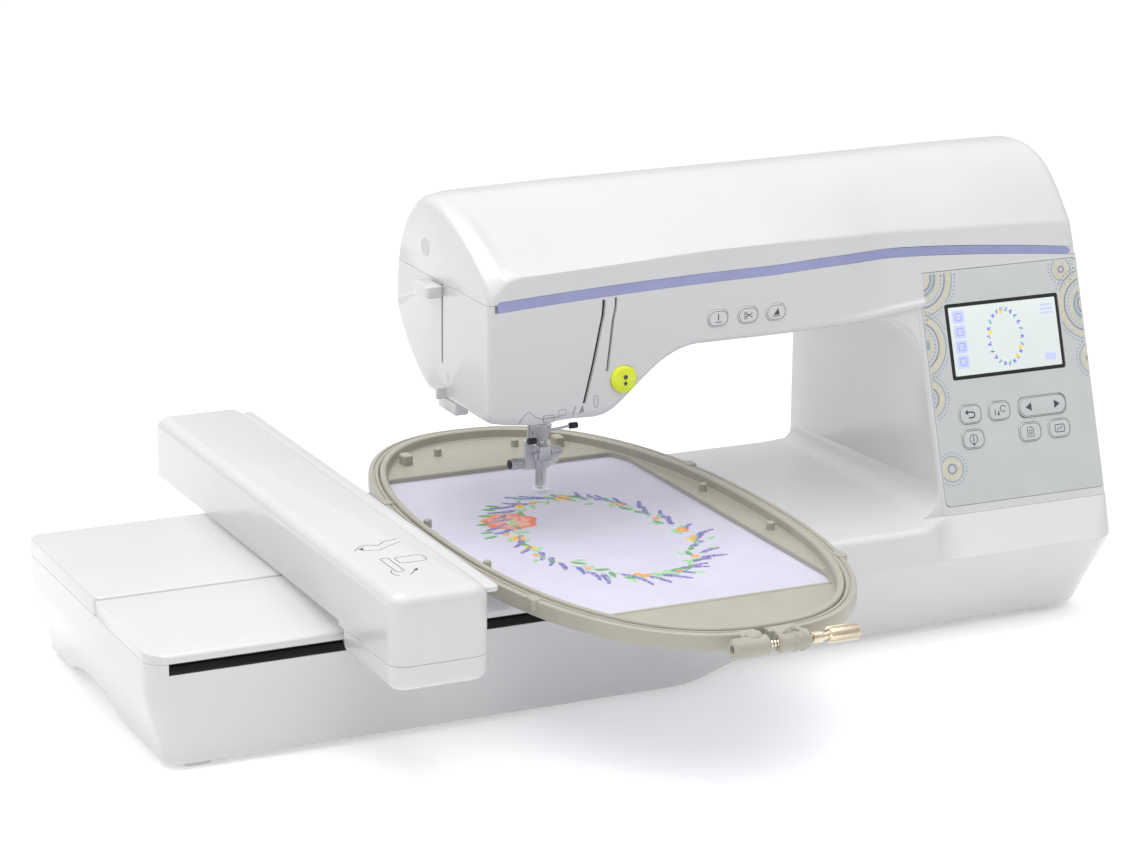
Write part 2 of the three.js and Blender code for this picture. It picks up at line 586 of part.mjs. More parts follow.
function makeCarriage() {
  const { left, right, front, back, bottom, skirt } = CARRIAGE;
  const seam = 77.2;
  const overhang = cut(carriageLoft(front, back, skirt, 0), box([100, 190], [SKIRT_BACK, 400], [50, 130]));
  const outer = join(carriageLoft(front, back, bottom, 0), overhang);
  const inner = carriageLoft(front, back, skirt - 10, WALL);
  const slot = box([right - 8, right + 5], [-60, 312], [85, 112]);
  const cover = cut(outer, inner, slot, box([100, 190], [-100, 0], [50, seam]));
  const lip = box([right - 2, right + 6.5], [-80, 316], [112.5, 116]);
  piece("carriage_cover", "white", join(cover, lip));

  const trayOuter = cut(overhang, box([100, 190], [-100, 0], [seam - GAP, 130]));
  const trayInner = box([left + WALL, right - WALL], [front + 9, SKIRT_BACK - WALL], [skirt + WALL, 90]);
  const backWall = box([left + 4, right - 4], [SKIRT_BACK - WALL, SKIRT_BACK], [skirt, bottom + 2]);
  const floor = box([left + 4, right - 4], [SKIRT_BACK - WALL, back - 9], [bottom, bottom + 2]);
  const tongue = box([left + 8, right - 8], [SKIRT_BACK - 1, 30], [skirt, skirt + 3.6]);
  const runner = cut(
    box([left + 10, right - 10], [14, 30], [44, skirt + 3.6]),
    bar("x", [X_RAIL.y, X_RAIL.z], 100, 190, X_RAIL.radius + GAP, 16),
  );
  const posts = [
    box([Y_RAIL.x - 7, Y_RAIL.x + 7], [front + 10, front + 16], [skirt + 1, Y_RAIL.z + 8]),
    box([Y_RAIL.x - 7, Y_RAIL.x + 7], [309, 313], [bottom, Y_RAIL.z + 8]),
  ];
  const railHole = bar("y", [Y_RAIL.x, Y_RAIL.z], -90, 330, Y_RAIL.radius + GAP, 16);
  const base = cut(join(cut(trayOuter, trayInner), backWall, floor, tongue, runner, ...posts), railHole);
  piece("carriage_base", "white", base);
  piece("carriage_rail", "steel", bar("y", [Y_RAIL.x, Y_RAIL.z], front + 9, 317, Y_RAIL.radius, 16));
}
makeCarriage();

// ---- Hoop and its holder ----
function makeFrameHolder() {
  const { front, back, armLow, armHigh } = HOLDER;
  const runner = box([Y_RAIL.x - 12, Y_RAIL.x + 12], [front, back], [armLow, Y_RAIL.z + 8]);
  const arm = box([Y_RAIL.x, 198.6], [front + 4, back - 4], [armLow, armHigh]);
  const railHole = bar("y", [Y_RAIL.x, Y_RAIL.z], 0, 90, Y_RAIL.radius + GAP, 16);
  const pin = bar("z", [LOCK.x, LOCK.y], armHigh - 1, armHigh + 4.5, 2, 12);
  piece("frame_holder", "black", join(cut(join(runner, arm), railHole), pin));
  const lever = join(
    bar("z", [LOCK.x, LOCK.y], armHigh + GAP, armHigh + 4, 5.5, 16),
    box([LOCK.x - 3, LOCK.x + 3], [LOCK.y - 24, LOCK.y], [armHigh + GAP, armHigh + 4]),
  );
  const pinHole = bar("z", [LOCK.x, LOCK.y], armHigh - 5, armHigh + 9, 2 + GAP, 12);
  piece("frame_lock_lever", "black", lever.subtract(pinHole));
}

makeFrameHolder();

function makeHoop() {
  const { x, y, bottom, top, halfWidth, halfLength } = HOOP;
  const bowed = (inset, low, high) =>
    prism("z", bowedOutline(halfWidth - inset, halfLength - inset), low, high);
  const ring = (outer, inner, low, high) => bowed(outer, low, high).subtract(bowed(inner, low - 2, high + 2));
  const split = box([x - 10.5, x - 4.5], [y - 260, y - 200], [70, 110]);
  const tab = box([199, 209], [HOLDER.front + 4, HOLDER.back - 4], [bottom, top]);
  const lugs = [[x - 33, x - 10.5], [x - 4.5, x + 15]].map((across) =>
    cut(
      join(
        box(across, [CLAMP.y, y - halfLength + 5], [CLAMP.z - 6, CLAMP.z + 4]),
        bar("x", [CLAMP.y, CLAMP.z], across[0], across[1], 6, 16),
      ),
      bar("x", [CLAMP.y, CLAMP.z], 270, 360, CLAMP.radius + GAP, 12),
    ),
  );
  piece("hoop_outer_ring", "taupe", join(cut(ring(0, 7, bottom, top), split), tab, ...lugs));

  const straight = prism("z", roundedRectangle([x, y], WINDOW.width, WINDOW.length, WINDOW.corner), 70, 110);
  const reach = WINDOW.length / 2;
  const leftSide = box([x - halfWidth, x - 40], [y - reach, y + reach], [70, 110]);
  const window = join(straight, bowed(11.9, 70, 110).intersect(leftSide));
  const innerWall = ring(7.5, 12, bottom + 1.8, top + 1);
  const flange = bowed(9, bottom + 1.8, bottom + 4.2).subtract(window);
  piece("hoop_inner_ring", "taupe", innerWall.add(flange));
  piece("hoop_fabric", "cloth", bowed(9, bottom, bottom + 1.3));

  const screw = join(
    bar("x", [CLAMP.y, CLAMP.z], x - 31, x + 34, CLAMP.radius, 12),
    bar("x", [CLAMP.y, CLAMP.z], x + 17, x + 24, 3.6, 12),
    bar("x", [CLAMP.y, CLAMP.z], x + 24, x + 48, 4.9, 16),
  );
  piece("hoop_clamp_screw", "nickel", screw);
}
makeHoop();

// ---- Needle, presser bar and threading parts in the head ----
function makeNeedleGroup() {
  const { x, y, tip } = NEEDLE;
  const clampLow = 106;
  const clampHigh = 118;
  const needleBar = join(
    bar("z", [x, y], clampLow, 212, 3.3, 16),
    bar("z", [x, y], clampLow, clampHigh, 5.4, 16),
    box([x - 7, x + 7], [y - 4, y + 4], [158, 168]),
  );
  const clampScrew = join(
    bar("x", [y - 0.5, 112], x + 4, x + 9, 1.5, 12),
    bar("x", [y - 0.5, 112], x + 8, x + 14, 3.4, 14),
  );
  piece("needle_bar", "steel", join(needleBar, clampScrew));
  const needle = new THREE.LatheGeometry(
    [[0, 0], [0.9, 6], [0.9, 14], [1.2, 15], [1.2, clampLow - GAP - tip], [0, clampLow - GAP - tip]].map(
      ([r, h]) => new THREE.Vector2(r, h),
    ),
    10,
  );
  piece("needle", "steel", solid(needle.rotateX(Math.PI / 2).translate(x, y, tip)));
  const barY = y + 15;
  piece("presser_bar", "steel", bar("z", [x, barY], 104, 214, 3, 16));
  const ring = cut(bar("z", [x, y], tip + 0.6, tip + 2.4, 5.5, 20), bar("z", [x, y], 80, 95, 2.3, 12));
  const heel = box([x - 3.5, x + 3.5], [y + 4, y + 8.5], [tip + 0.6, tip + 2.4]);
  const stem = box([x - 3.5, x + 3.5], [y + 5.9, y + 8.5], [tip + 0.6, 118]);
  const wing = box([x + 2, x + 17], [y + 6.2, y + 7.8], [104, 121]);
  const shank = box([x - 8, x + 5], [y + 7.5, barY - 3.4], [98, 118]);
  piece("embroidery_foot", "silver", join(ring, heel, stem, wing, shank));
  const footScrew = bar("x", [y + 9.3, 103], x - 18, x - 8 - GAP, 3.8, 16);
  piece("foot_screw", "steel", footScrew);
}
makeNeedleGroup();

function makeHeadLevers() {
  const { y } = THREADER_SLOT;
  const stem = box([LEFT_X - 8, LEFT_X + 12], [y - 1.5, y + 1.5], [232, 237]);
  const tab = box([LEFT_X - 12, LEFT_X - 1], [y - 4, y + 20], [230.5, 238.2]);
  piece("threader_lever", "white", stem.add(tab));

  const pivot = bar("y", [FOOT_LEVER.x, FOOT_LEVER.z], 224, 239, 3.4, 16);
  const hub = bar("y", [FOOT_LEVER.x, FOOT_LEVER.z], BACK_Y + 1, 239, 7, 20);
  const reach = FOOT_LEVER.x + FOOT_LEVER.length;
  const handle = prism(
    "y",
    [[FOOT_LEVER.x, 191], [reach, 184], [reach + 4, 190], [FOOT_LEVER.x, 202]],
    BACK_Y + 1,
    237,
  );
  piece("foot_lever", "white", join(pivot, hub, handle));

  const takeUp = join(
    bar("x", [TAKE_UP.y, TAKE_UP.z], 290, 296, 7, 16),
    box([291, 295], [TAKE_UP.y - 26, TAKE_UP.y], [TAKE_UP.z - 3, TAKE_UP.z + 3]),
  );
  piece("take_up_lever", "steel", takeUp);
}

makeHeadLevers();

// ---- Drive: motor, belt, main shaft, lower shaft and hook ----
// A belt round two pulleys, the second one below the first, with straight runs tangent to both.
function belt(high, low, from, to) {
  const outline = (extra) => {
    const drop = Math.hypot(high.y - low.y, high.z - low.z);
    const down = Math.atan2(low.z - high.z, low.y - high.y);
    const slant = Math.acos((high.radius - low.radius) / drop);
    const arc = (wheel, start, end) =>
      Array.from({ length: 11 }, (_, i) => {
        const angle = mix(start, end, i / 10);
        const reach = wheel.radius + extra;
        return [wheel.y + reach * Math.cos(angle), wheel.z + reach * Math.sin(angle)];
      });
    return [
      ...arc(high, down + slant, down + 2 * Math.PI - slant),
      ...arc(low, down - slant, down + slant),
    ];
  };
  const loop = prism("x", outline(GAP + BELT.thickness), from, to);
  return loop.subtract(prism("x", outline(GAP), from - 2, to + 2));
}

function makeDrive() {
  const at = [SHAFT.y, SHAFT.z];
  const shaft = join(
    bar("x", at, 306, 663, SHAFT.radius, 16),
    bar("x", at, 298, 306.5, 16, 20),
    bar("x", at, BELT.from - 1.5, BELT.to + 1.5, BELT.shaftRadius, 28),
    bar("x", at, BELT.timingFrom - 1.5, BELT.timingTo + 1.5, BELT.timingRadius, 24),
  );
  piece("main_shaft", "steel", shaft);
  const wheelProfile = [[0, 0], [28, 0], [31, 3], [31, 13], [28, 16.5], [0, 16.5]];
  const wheel = new THREE.LatheGeometry(wheelProfile.map(([r, h]) => new THREE.Vector2(r, h)), 36);
  piece("handwheel", "white", solid(wheel.rotateZ(-Math.PI / 2).translate(RIGHT_X + 1.5, ...at)));
  const shaftWheel = { ...SHAFT, radius: BELT.shaftRadius };
  piece("drive_belt", "rubber", belt(shaftWheel, { ...MOTOR, radius: BELT.motorRadius }, BELT.from, BELT.to));
  const timed = (centre) => ({ ...centre, radius: BELT.timingRadius });
  piece("timing_belt", "rubber", belt(timed(SHAFT), timed(LOWER_SHAFT), BELT.timingFrom, BELT.timingTo));

  const motorAt = [MOTOR.y, MOTOR.z];
  const motor = bar("x", motorAt, COLUMN_PLATE.to + GAP, 605, MOTOR.radius, 24);
  piece("main_motor", "castMetal", motor.subtract(bar("x", motorAt, 596, 620, 3.4, 16)));
  const pulley = bar("x", motorAt, BELT.from - 1.5, BELT.to + 1.5, BELT.motorRadius, 20);
  piece("motor_pulley", "steel", pulley.add(bar("x", motorAt, 597, 619, 3, 16)));

  const lowerAt = [LOWER_SHAFT.y, LOWER_SHAFT.z];
  const lower = join(
    bar("x", lowerAt, 345, BELT.timingTo + 2, LOWER_SHAFT.radius, 16),
    bar("x", lowerAt, 341, 347, 10, 20),
    bar("x", lowerAt, BELT.timingFrom - 1.5, BELT.timingTo + 1.5, BELT.timingRadius, 24),
  );
  piece("lower_shaft", "steel", lower);
}
makeDrive();

function makeChassis() {
  const shaftHole = bar("x", [SHAFT.y, SHAFT.z], 200, 700, SHAFT.radius + GAP, 16);
  const lowerHole = bar("x", [LOWER_SHAFT.y, LOWER_SHAFT.z], 200, 700, LOWER_SHAFT.radius + GAP, 16);
  const armBeam = box([344, COLUMN_PLATE.to], [174, 200], [212, 240]);
  const column = box([COLUMN_PLATE.from, COLUMN_PLATE.to], [112, 204], [12, 240]);
  const bed = box([344, COLUMN_PLATE.to], [172, 200], [30, 58]);
  const shaftBosses = [344, 470].map((x) => box([x, x + 12], [140, 176], [214, 238]));
  const lowerBosses = [356, 470].map((x) => box([x, x + 12], [150, 174], [34, 56]));
  const sole = box([500, 606], [100, 206], [7, 14]);
  const frame = join(armBeam, column, bed, sole, ...shaftBosses, ...lowerBosses);
  piece("chassis_frame", "castMetal", cut(frame, shaftHole, lowerHole));
}
makeChassis();

function makeHook() {
  const at = [HOOK.x, HOOK.y];
  const cup = cut(bar("z", at, 60, 74, HOOK.radius, 28), bar("z", at, 62.5, 80, HOOK.radius - 3, 28));
  const stem = bar("z", at, 34, 60.5, 3.5, 14);
  piece("rotary_hook", "steel", join(cup, stem));
  const reel = [[0, 0], [10.3, 0], [10.3, 1], [5, 1.6], [5, 8.4], [10.3, 9], [10.3, 10], [0, 10]];
  const bobbin = new THREE.LatheGeometry(reel.map(([r, h]) => new THREE.Vector2(r, h)), 24);
  piece("bobbin", "silver", solid(bobbin.rotateX(Math.PI / 2).translate(...at, 63)));
  const plateEdge = roundedRectangle(PLATE.centre, PLATE.width, PLATE.length, 5.6);
  const plate = prism("z", plateEdge, BED_Z - 1.5, BED_Z);
  const needleHole = bar("z", [NEEDLE.x, NEEDLE.y], 70, 90, 2.4, 12);
  const coverEdge = (extra) => roundedRectangle([HOOK.x, 130], 46 + extra, 42 + extra, 6 + extra / 2);
  piece("needle_plate", "steel", cut(plate, needleHole, prism("z", coverEdge(2 * GAP), 70, 90)));
  piece("bobbin_cover", "silver", prism("z", coverEdge(0), BED_Z - 1.5, BED_Z));
}
makeHook();

// ---- Under the lid ----
function makeSpoolParts() {
  const deck = LID_HINGE_Z - 0.5 + GAP;
  const pin = join(
    bar("x", [188, 266], 470, 552, 3.5, 14),
    box([545, 552], [184, 192], [deck, 266]),
  );
  piece("spool_pin", "white", pin);
  const winder = bar("z", [600, 180], deck, deck + 3, 12, 20);
  piece("bobbin_winder", "white", winder.add(bar("z", [600, 180], deck, deck + 18, 3, 14)));
}
makeSpoolParts();

// The origin is the middle of the underside of the whole machine.
const extent = new THREE.Box3().setFromObject(machine);
machine.position.set(
  -(extent.min.x + extent.max.x) / 2,
  -(extent.min.y + extent.max.y) / 2,
  -extent.min.z,
);

export default machine;
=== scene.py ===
"""Looks of the household embroidery machine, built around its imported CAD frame.

Shapes are laid out in millimetres from the front left foot of the embroidery unit, +X to the operator's
right, +Y to the back and +Z up. place() turns such a point into the frame's metres.
"""

import json
import random
from math import atan2, copysign, cos, dist, exp, hypot, pi, radians, sin, sqrt, tan

import bmesh
import bpy
from mathutils import Matrix, Vector


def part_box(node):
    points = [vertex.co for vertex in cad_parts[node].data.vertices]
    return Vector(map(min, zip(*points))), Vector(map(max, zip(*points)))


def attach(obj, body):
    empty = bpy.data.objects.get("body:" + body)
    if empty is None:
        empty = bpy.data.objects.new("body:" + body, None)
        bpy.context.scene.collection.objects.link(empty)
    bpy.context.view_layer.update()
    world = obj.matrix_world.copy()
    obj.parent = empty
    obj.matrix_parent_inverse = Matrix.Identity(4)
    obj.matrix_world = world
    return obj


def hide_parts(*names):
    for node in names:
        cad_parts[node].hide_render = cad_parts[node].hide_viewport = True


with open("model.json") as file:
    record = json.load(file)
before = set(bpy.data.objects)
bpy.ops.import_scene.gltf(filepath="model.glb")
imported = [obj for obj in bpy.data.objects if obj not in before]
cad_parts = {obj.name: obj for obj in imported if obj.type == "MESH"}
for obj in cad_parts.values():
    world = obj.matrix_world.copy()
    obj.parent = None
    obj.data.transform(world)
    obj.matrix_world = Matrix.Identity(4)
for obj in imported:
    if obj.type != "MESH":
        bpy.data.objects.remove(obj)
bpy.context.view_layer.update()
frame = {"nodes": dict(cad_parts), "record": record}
RANDOM = random.Random(7)
MM = 0.001

# ---- Layout, in millimetres ----
LAYOUT_ORIGIN = Vector((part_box("unit_case")[0].x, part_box("unit_front_panel")[0].y, 0))
LEFT_X, RIGHT_X, COLUMN_X = 236, 664, 538
RIDGE_Y = 150
BACK_Y = 231
BED_Z = 80
SHOULDER_Z = 231  # height at which the front wall stands where FRONT_TOP says
BACK_SHOULDER_Z = 219  # height at which the back starts to round over into the top
FACE_END = 239.8  # the face cover ends and the casings start
STRIPE_HEIGHT = 5
STRIPE_START, STRIPE_BEND, STRIPE_END = 242, 653.5, 657  # the strip closes from its bend to its end
ARM_FACE_Y = 60
HOOP_STEPS = 320  # points round the hoop
WALL = 2.4
SEAM = 0.2  # half of it on either side of a joint line
PANEL = {"x": 601, "y": 30, "z": 85, "width": 120, "height": 150, "lean": radians(17.7)}
HOOP = {"x": 318, "y": 73.5, "bottom": 83, "half_width": 115, "half_length": 225, "bow": 2.35}
WINDOW = {"width": 171, "length": 297, "corner": 9}
CLOTH_Z = 84.3
CLOTH_CENTRE = (317, 69)
CLAMP = (HOOP["y"] - 235, 89)  # y and z of the hoop's clamp screw
CARRIAGE = {"left": 113.5, "right": 174, "front": -85, "back": 324, "top": 119, "skirt": 62}
NEEDLE = {"x": 320.5, "y": 165.5, "tip": 85.6}
START_BUTTON = {"x": 326, "z": 185.5, "radius": 8.5}
ARM_KEYS = {"needle": 390.2, "cut": 411.1, "lift": 430.7}
ARM_KEY_Z = 217.3
SHAFT_Y, SHAFT_Z = 150, 226


def place(x, y, z):
    return LAYOUT_ORIGIN + Vector((x, y, z)) * MM


# ---- Numbers ----
def mix(a, b, share):
    return a + (b - a) * share


def ease(value, start, end):
    share = min(1, max(0, (value - start) / (end - start)))
    return share * share * (3 - 2 * share)


def steps(start, end, count):
    return [mix(start, end, i / (count - 1)) for i in range(count)]


def quarter(count):
    """Angles over a quarter turn."""
    return steps(0, pi / 2, count)


def lookup(table, x):
    """Straight-line reading of a list of (x, value) pairs."""
    if x <= table[0][0]:
        return table[0][1]
    for (x0, v0), (x1, v1) in zip(table, table[1:]):
        if x <= x1:
            return mix(v0, v1, (x - x0) / (x1 - x0))
    return table[-1][1]


def softened(table, x, reach=7):
    """The same reading with its corners rounded off over `reach`."""
    return sum(lookup(table, x + offset * reach) for offset in steps(-1, 1, 7)) / 7


def rounding(depth, radius):
    """How far a rounded edge draws in at a depth below the face that it rounds into."""
    rest = radius - min(max(depth, 0), radius)
    return radius - sqrt(max(0, radius * radius - rest * rest))


def at_x(x, path):
    """A path of (y, z) points set at x."""
    return [(x, y, z) for y, z in path]


def resample(path, count):
    """`count` points evenly spaced along a polyline of (u, v) points."""
    lengths = [0]
    for a, b in zip(path, path[1:]):
        lengths.append(lengths[-1] + dist(a, b))
    points = []
    piece = 0
    for target in steps(0, lengths[-1], count):
        while piece < len(path) - 2 and lengths[piece + 1] < target:
            piece += 1
        span = max(1e-9, lengths[piece + 1] - lengths[piece])
        share = min(1, (target - lengths[piece]) / span)
        points.append([mix(a, b, share) for a, b in zip(path[piece], path[piece + 1])])
    return points


def arc(centre, radius, start, end, count=9):
    """Points of a circular arc, angles in degrees."""
    return [
        (centre[0] + radius * cos(radians(a)), centre[1] + radius * sin(radians(a)))
        for a in steps(start, end, count)
    ]


def rounded_rectangle(centre, width, height, radius, count=7):
    points = []
    for quarter, (sx, sy) in enumerate([(1, 1), (-1, 1), (-1, -1), (1, -1)]):
        corner = (centre[0] + sx * (width / 2 - radius), centre[1] + sy * (height / 2 - radius))
        points += arc(corner, radius, 90 * quarter, 90 * quarter + 90, count)
    return points


# ---- Meshes ----
def new_object(name, vertices, faces):
    mesh = bpy.data.meshes.new(name)
    mesh.from_pydata([place(*vertex) for vertex in vertices], [], faces)
    made = bpy.data.objects.new(name, mesh)
    bpy.context.collection.objects.link(made)
    return made


def grid(rows, closed=False, caps=False):
    """Vertices and faces that skin rows of equally many points."""
    width = len(rows[0])
    vertices = [point for row in rows for point in row]
    faces = []
    for r in range(len(rows) - 1):
        for c in range(width if closed else width - 1):
            after = (c + 1) % width
            faces.append((r * width + c, r * width + after, (r + 1) * width + after, (r + 1) * width + c))
    if caps:
        faces.append(tuple(reversed(range(width))))
        faces.append(tuple(range((len(rows) - 1) * width, len(rows) * width)))
    return vertices, faces


def face_out(made, centre=None):
    """Turns the faces outwards: of a closed body, or of an open sheet as seen from `centre` inside it."""
    bm = bmesh.new()
    bm.from_mesh(made.data)
    bmesh.ops.remove_doubles(bm, verts=bm.verts, dist=2e-6)
    bmesh.ops.dissolve_degenerate(bm, edges=bm.edges, dist=1e-6)
    bmesh.ops.recalc_face_normals(bm, faces=bm.faces)
    if centre is not None:
        middle = place(*centre)
        lean = sum((f.calc_center_median() - middle).dot(f.normal) * f.calc_area() for f in bm.faces)
        if lean < 0:
            bmesh.ops.reverse_faces(bm, faces=bm.faces)
    bm.to_mesh(made.data)
    bm.free()
    return made


def bake_modifiers(made):
    bpy.context.view_layer.update()
    graph = bpy.context.evaluated_depsgraph_get()
    mesh = bpy.data.meshes.new_from_object(made.evaluated_get(graph))
    made.modifiers.clear()
    made.data = mesh
    return made


def thicken(made, wall=WALL):
    """Gives an open sheet its wall on the inside."""
    solidify = made.modifiers.new("wall", "SOLIDIFY")
    solidify.thickness = wall * MM
    solidify.offset = -1
    return bake_modifiers(made)


def shell(name, rows, inside, wall=WALL, caps=False):
    """A sheet over rows of points, with its wall on the side of the point `inside`."""
    return thicken(face_out(new_object(name, *grid(rows, caps=caps)), inside), wall)


def soften_edges(made, width=0.5, segments=2, angle=35):
    bevel = made.modifiers.new("edges", "BEVEL")
    bevel.width = width * MM
    bevel.segments = segments
    bevel.limit_method = "ANGLE"
    bevel.angle_limit = radians(angle)
    return bake_modifiers(made)


def carve(made, cutters, operation="DIFFERENCE"):
    """Cuts the cutter objects out of a body, and deletes them."""
    for cutter in cutters:
        face_out(cutter)
        boolean = made.modifiers.new("cut", "BOOLEAN")
        boolean.operation = operation
        boolean.object = cutter
        boolean.solver = "EXACT"
    bake_modifiers(made)
    for cutter in cutters:
        bpy.data.objects.remove(cutter)
    return made


def merge(name, parts):
    """Joins several mesh objects into one piece."""
    bm = bmesh.new()
    for part in parts:
        bm.from_mesh(part.data)
        bpy.data.objects.remove(part)
    mesh = bpy.data.meshes.new(name)
    bm.to_mesh(mesh)
    bm.free()
    made = bpy.data.objects.new(name, mesh)
    bpy.context.collection.objects.link(made)
    return made


def show(made, material, body="machine", replaces=(), sharp=32):
    """Dresses a finished piece, parents it to its body and hides the frame parts that it replaces."""
    made.data.materials.clear()
    made.data.materials.append(material)
    made.data.polygons.foreach_set("material_index", [0] * len(made.data.polygons))
    made.data.shade_smooth()
    made.data.set_sharp_from_angle(angle=radians(sharp))
    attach(made, body)
    if replaces:
        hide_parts(*replaces)
    return made


def solid_rows(name, rows):
    """A closed body skinned over closed rows, with flat ends."""
    return face_out(new_object(name, *grid(rows, closed=True, caps=True)))


def swept(name, rows):
    """A closed section swept once round, back to its start."""
    return face_out(new_object(name, *grid(rows + rows[:1], closed=True)))


def rim(radius, count):
    """(depth, draw-in) pairs of a rounded rim, from the face inwards."""
    depths = [radius * (1 - cos(a)) for a in quarter(count)]
    return [(depth, rounding(depth, radius)) for depth in depths] if radius else [(0, 0)]


def show_painted_shade(made):
    """A black sheet in a slot or a gap: painted shade for the opening's dark inside."""
    return show(made, SHADOW)


def slab(name, x, y, z, corner=2, top=0.8, bottom=0.4, count=7):
    """A block with rounded upright corners and rounded upper and lower rims."""
    centre = ((x[0] + x[1]) / 2, (y[0] + y[1]) / 2)
    width, length = x[1] - x[0], y[1] - y[0]
    rows = []
    levels = [(z[0] + depth, pull) for depth, pull in rim(bottom, 5)]
    levels += [(z[1] - depth, pull) for depth, pull in rim(top, 6)[::-1]]
    for height, pull in levels:
        corner_here = max(0.05, corner - pull)
        outline = rounded_rectangle(centre, width - 2 * pull, length - 2 * pull, corner_here, count)
        rows.append([(px, py, height) for px, py in outline])
    return solid_rows(name, rows)


def upright_slab(name, x, z, y, corner, front_round=0.8, count=7):
    """A rounded key or block seen from the front: x and z are its outline, y runs from front to back."""
    made = slab(name, x, z, (0, y[1] - y[0]), corner, front_round, 0, count)
    turn = Matrix(((1, 0, 0, 0), (0, 0, -1, 0), (0, 1, 0, 0), (0, 0, 0, 1)))
    made.data.transform(Matrix.Translation(place(0, y[1], 0)) @ turn @ Matrix.Translation(-place(0, 0, 0)))
    return face_out(made)


# Turn a body made upright to lie along an axis.
AXES = {"x": Matrix.Rotation(radians(90), 4, "Y"), "y": Matrix.Rotation(radians(-90), 4, "X"),
        "z": Matrix.Identity(4)}


def lathe(name, profile, centre, axis="z", sides=48, ribs=0, rib_depth=0.0):
    """A turned body: profile is (radius, height) from the bottom up, from centre along the axis."""
    rows = []
    for radius, height in profile:
        ring = []
        for i in range(sides):
            angle = 2 * pi * i / sides
            reach = radius - (rib_depth if ribs and radius > 0.05 and i * ribs // sides % 2 else 0)
            local = AXES[axis] @ Vector((reach * cos(angle), reach * sin(angle), height))
            ring.append((centre[0] + local.x, centre[1] + local.y, centre[2] + local.z))
        rows.append(ring)
    return solid_rows(name, rows)


def rod(name, axis, centre, start, end, radius, edge=0.3, sides=32):
    """A round bar with broken edges; centre gives the other two coordinates in order."""
    at = {"x": (start, *centre), "y": (centre[0], start, centre[1]), "z": (*centre, start)}[axis]
    length = end - start
    profile = [(radius - edge, 0), (radius, edge), (radius, length - edge), (radius - edge, length)]
    return lathe(name, profile, at, axis, sides)


def tube(name, points, radius, sides=12):
    """A round wire through points."""
    rows = []
    vectors = [Vector(point) for point in points]
    side = None
    for i, point in enumerate(vectors):
        along = (vectors[min(i + 1, len(vectors) - 1)] - vectors[max(i - 1, 0)]).normalized()
        if side is None:
            side = along.orthogonal().normalized()
        side = (side - along * side.dot(along)).normalized()
        up = along.cross(side)
        ring = [point + (side * cos(a) + up * sin(a)) * radius
                for a in (2 * pi * k / sides for k in range(sides))]
        rows.append([tuple(p) for p in ring])
    return solid_rows(name, rows)


def prism(name, outline, to_point, low, high):
    """An outline pushed along its plane's normal; to_point(u, v, n) gives layout coordinates."""
    return solid_rows(name, [[to_point(u, v, n) for u, v in outline] for n in (low, high)])


def pocket(centre, width, height, radius, to_point, low, high, count=7):
    """A rounded rectangular cutter."""
    return prism("pocket", rounded_rectangle(centre, width, height, radius, count), to_point, low, high)


def upright(u, v, n):
    return (u, n, v)


def level(u, v, n):
    return (u, v, n)


def sideways(u, v, n):
    return (n, u, v)


# ---- Prints: thin ink laid on a surface ----
INK = 0.06


def half_across(start, end, width):
    """Half the width of a line from start to end, as a vector to its left."""
    du, dv = end[0] - start[0], end[1] - start[1]
    size = hypot(du, dv) or 1
    return -dv / size * width / 2, du / size * width / 2


def stroke(points, width, closed=False):
    """The left and right edges of a pen stroke."""
    count = len(points)
    lefts, rights = [], []
    for i, (u, v) in enumerate(points):
        before = points[i - 1] if i or closed else points[i]
        after = points[(i + 1) % count] if i + 1 < count or closed else points[i]
        nu, nv = half_across(before, after, width)
        lefts.append((u + nu, v + nv))
        rights.append((u - nu, v - nv))
    return lefts, rights


def print_marks(name, material, surface, strokes=(), fills=(), body="machine"):
    """Ink of strokes (points, width, closed) and filled outlines on surface(u, v, n)."""
    parts = []
    for points, width, closed in strokes:
        lefts, rights = stroke(points, width, closed)
        rows = [[surface(*l, -INK / 2), surface(*l, INK), surface(*r, INK), surface(*r, -INK / 2)]
                for l, r in zip(lefts, rights)]
        if closed:
            rows.append(rows[0])
        parts.append(face_out(new_object("stroke", *grid(rows, closed=True, caps=not closed))))
    for outline in fills:
        parts.append(prism("fill", outline, surface, -INK / 2, INK))
    return show(merge(name, parts), material, body, sharp=50)


# ---- Materials ----
GRAIN_DEPTH = 0.0001


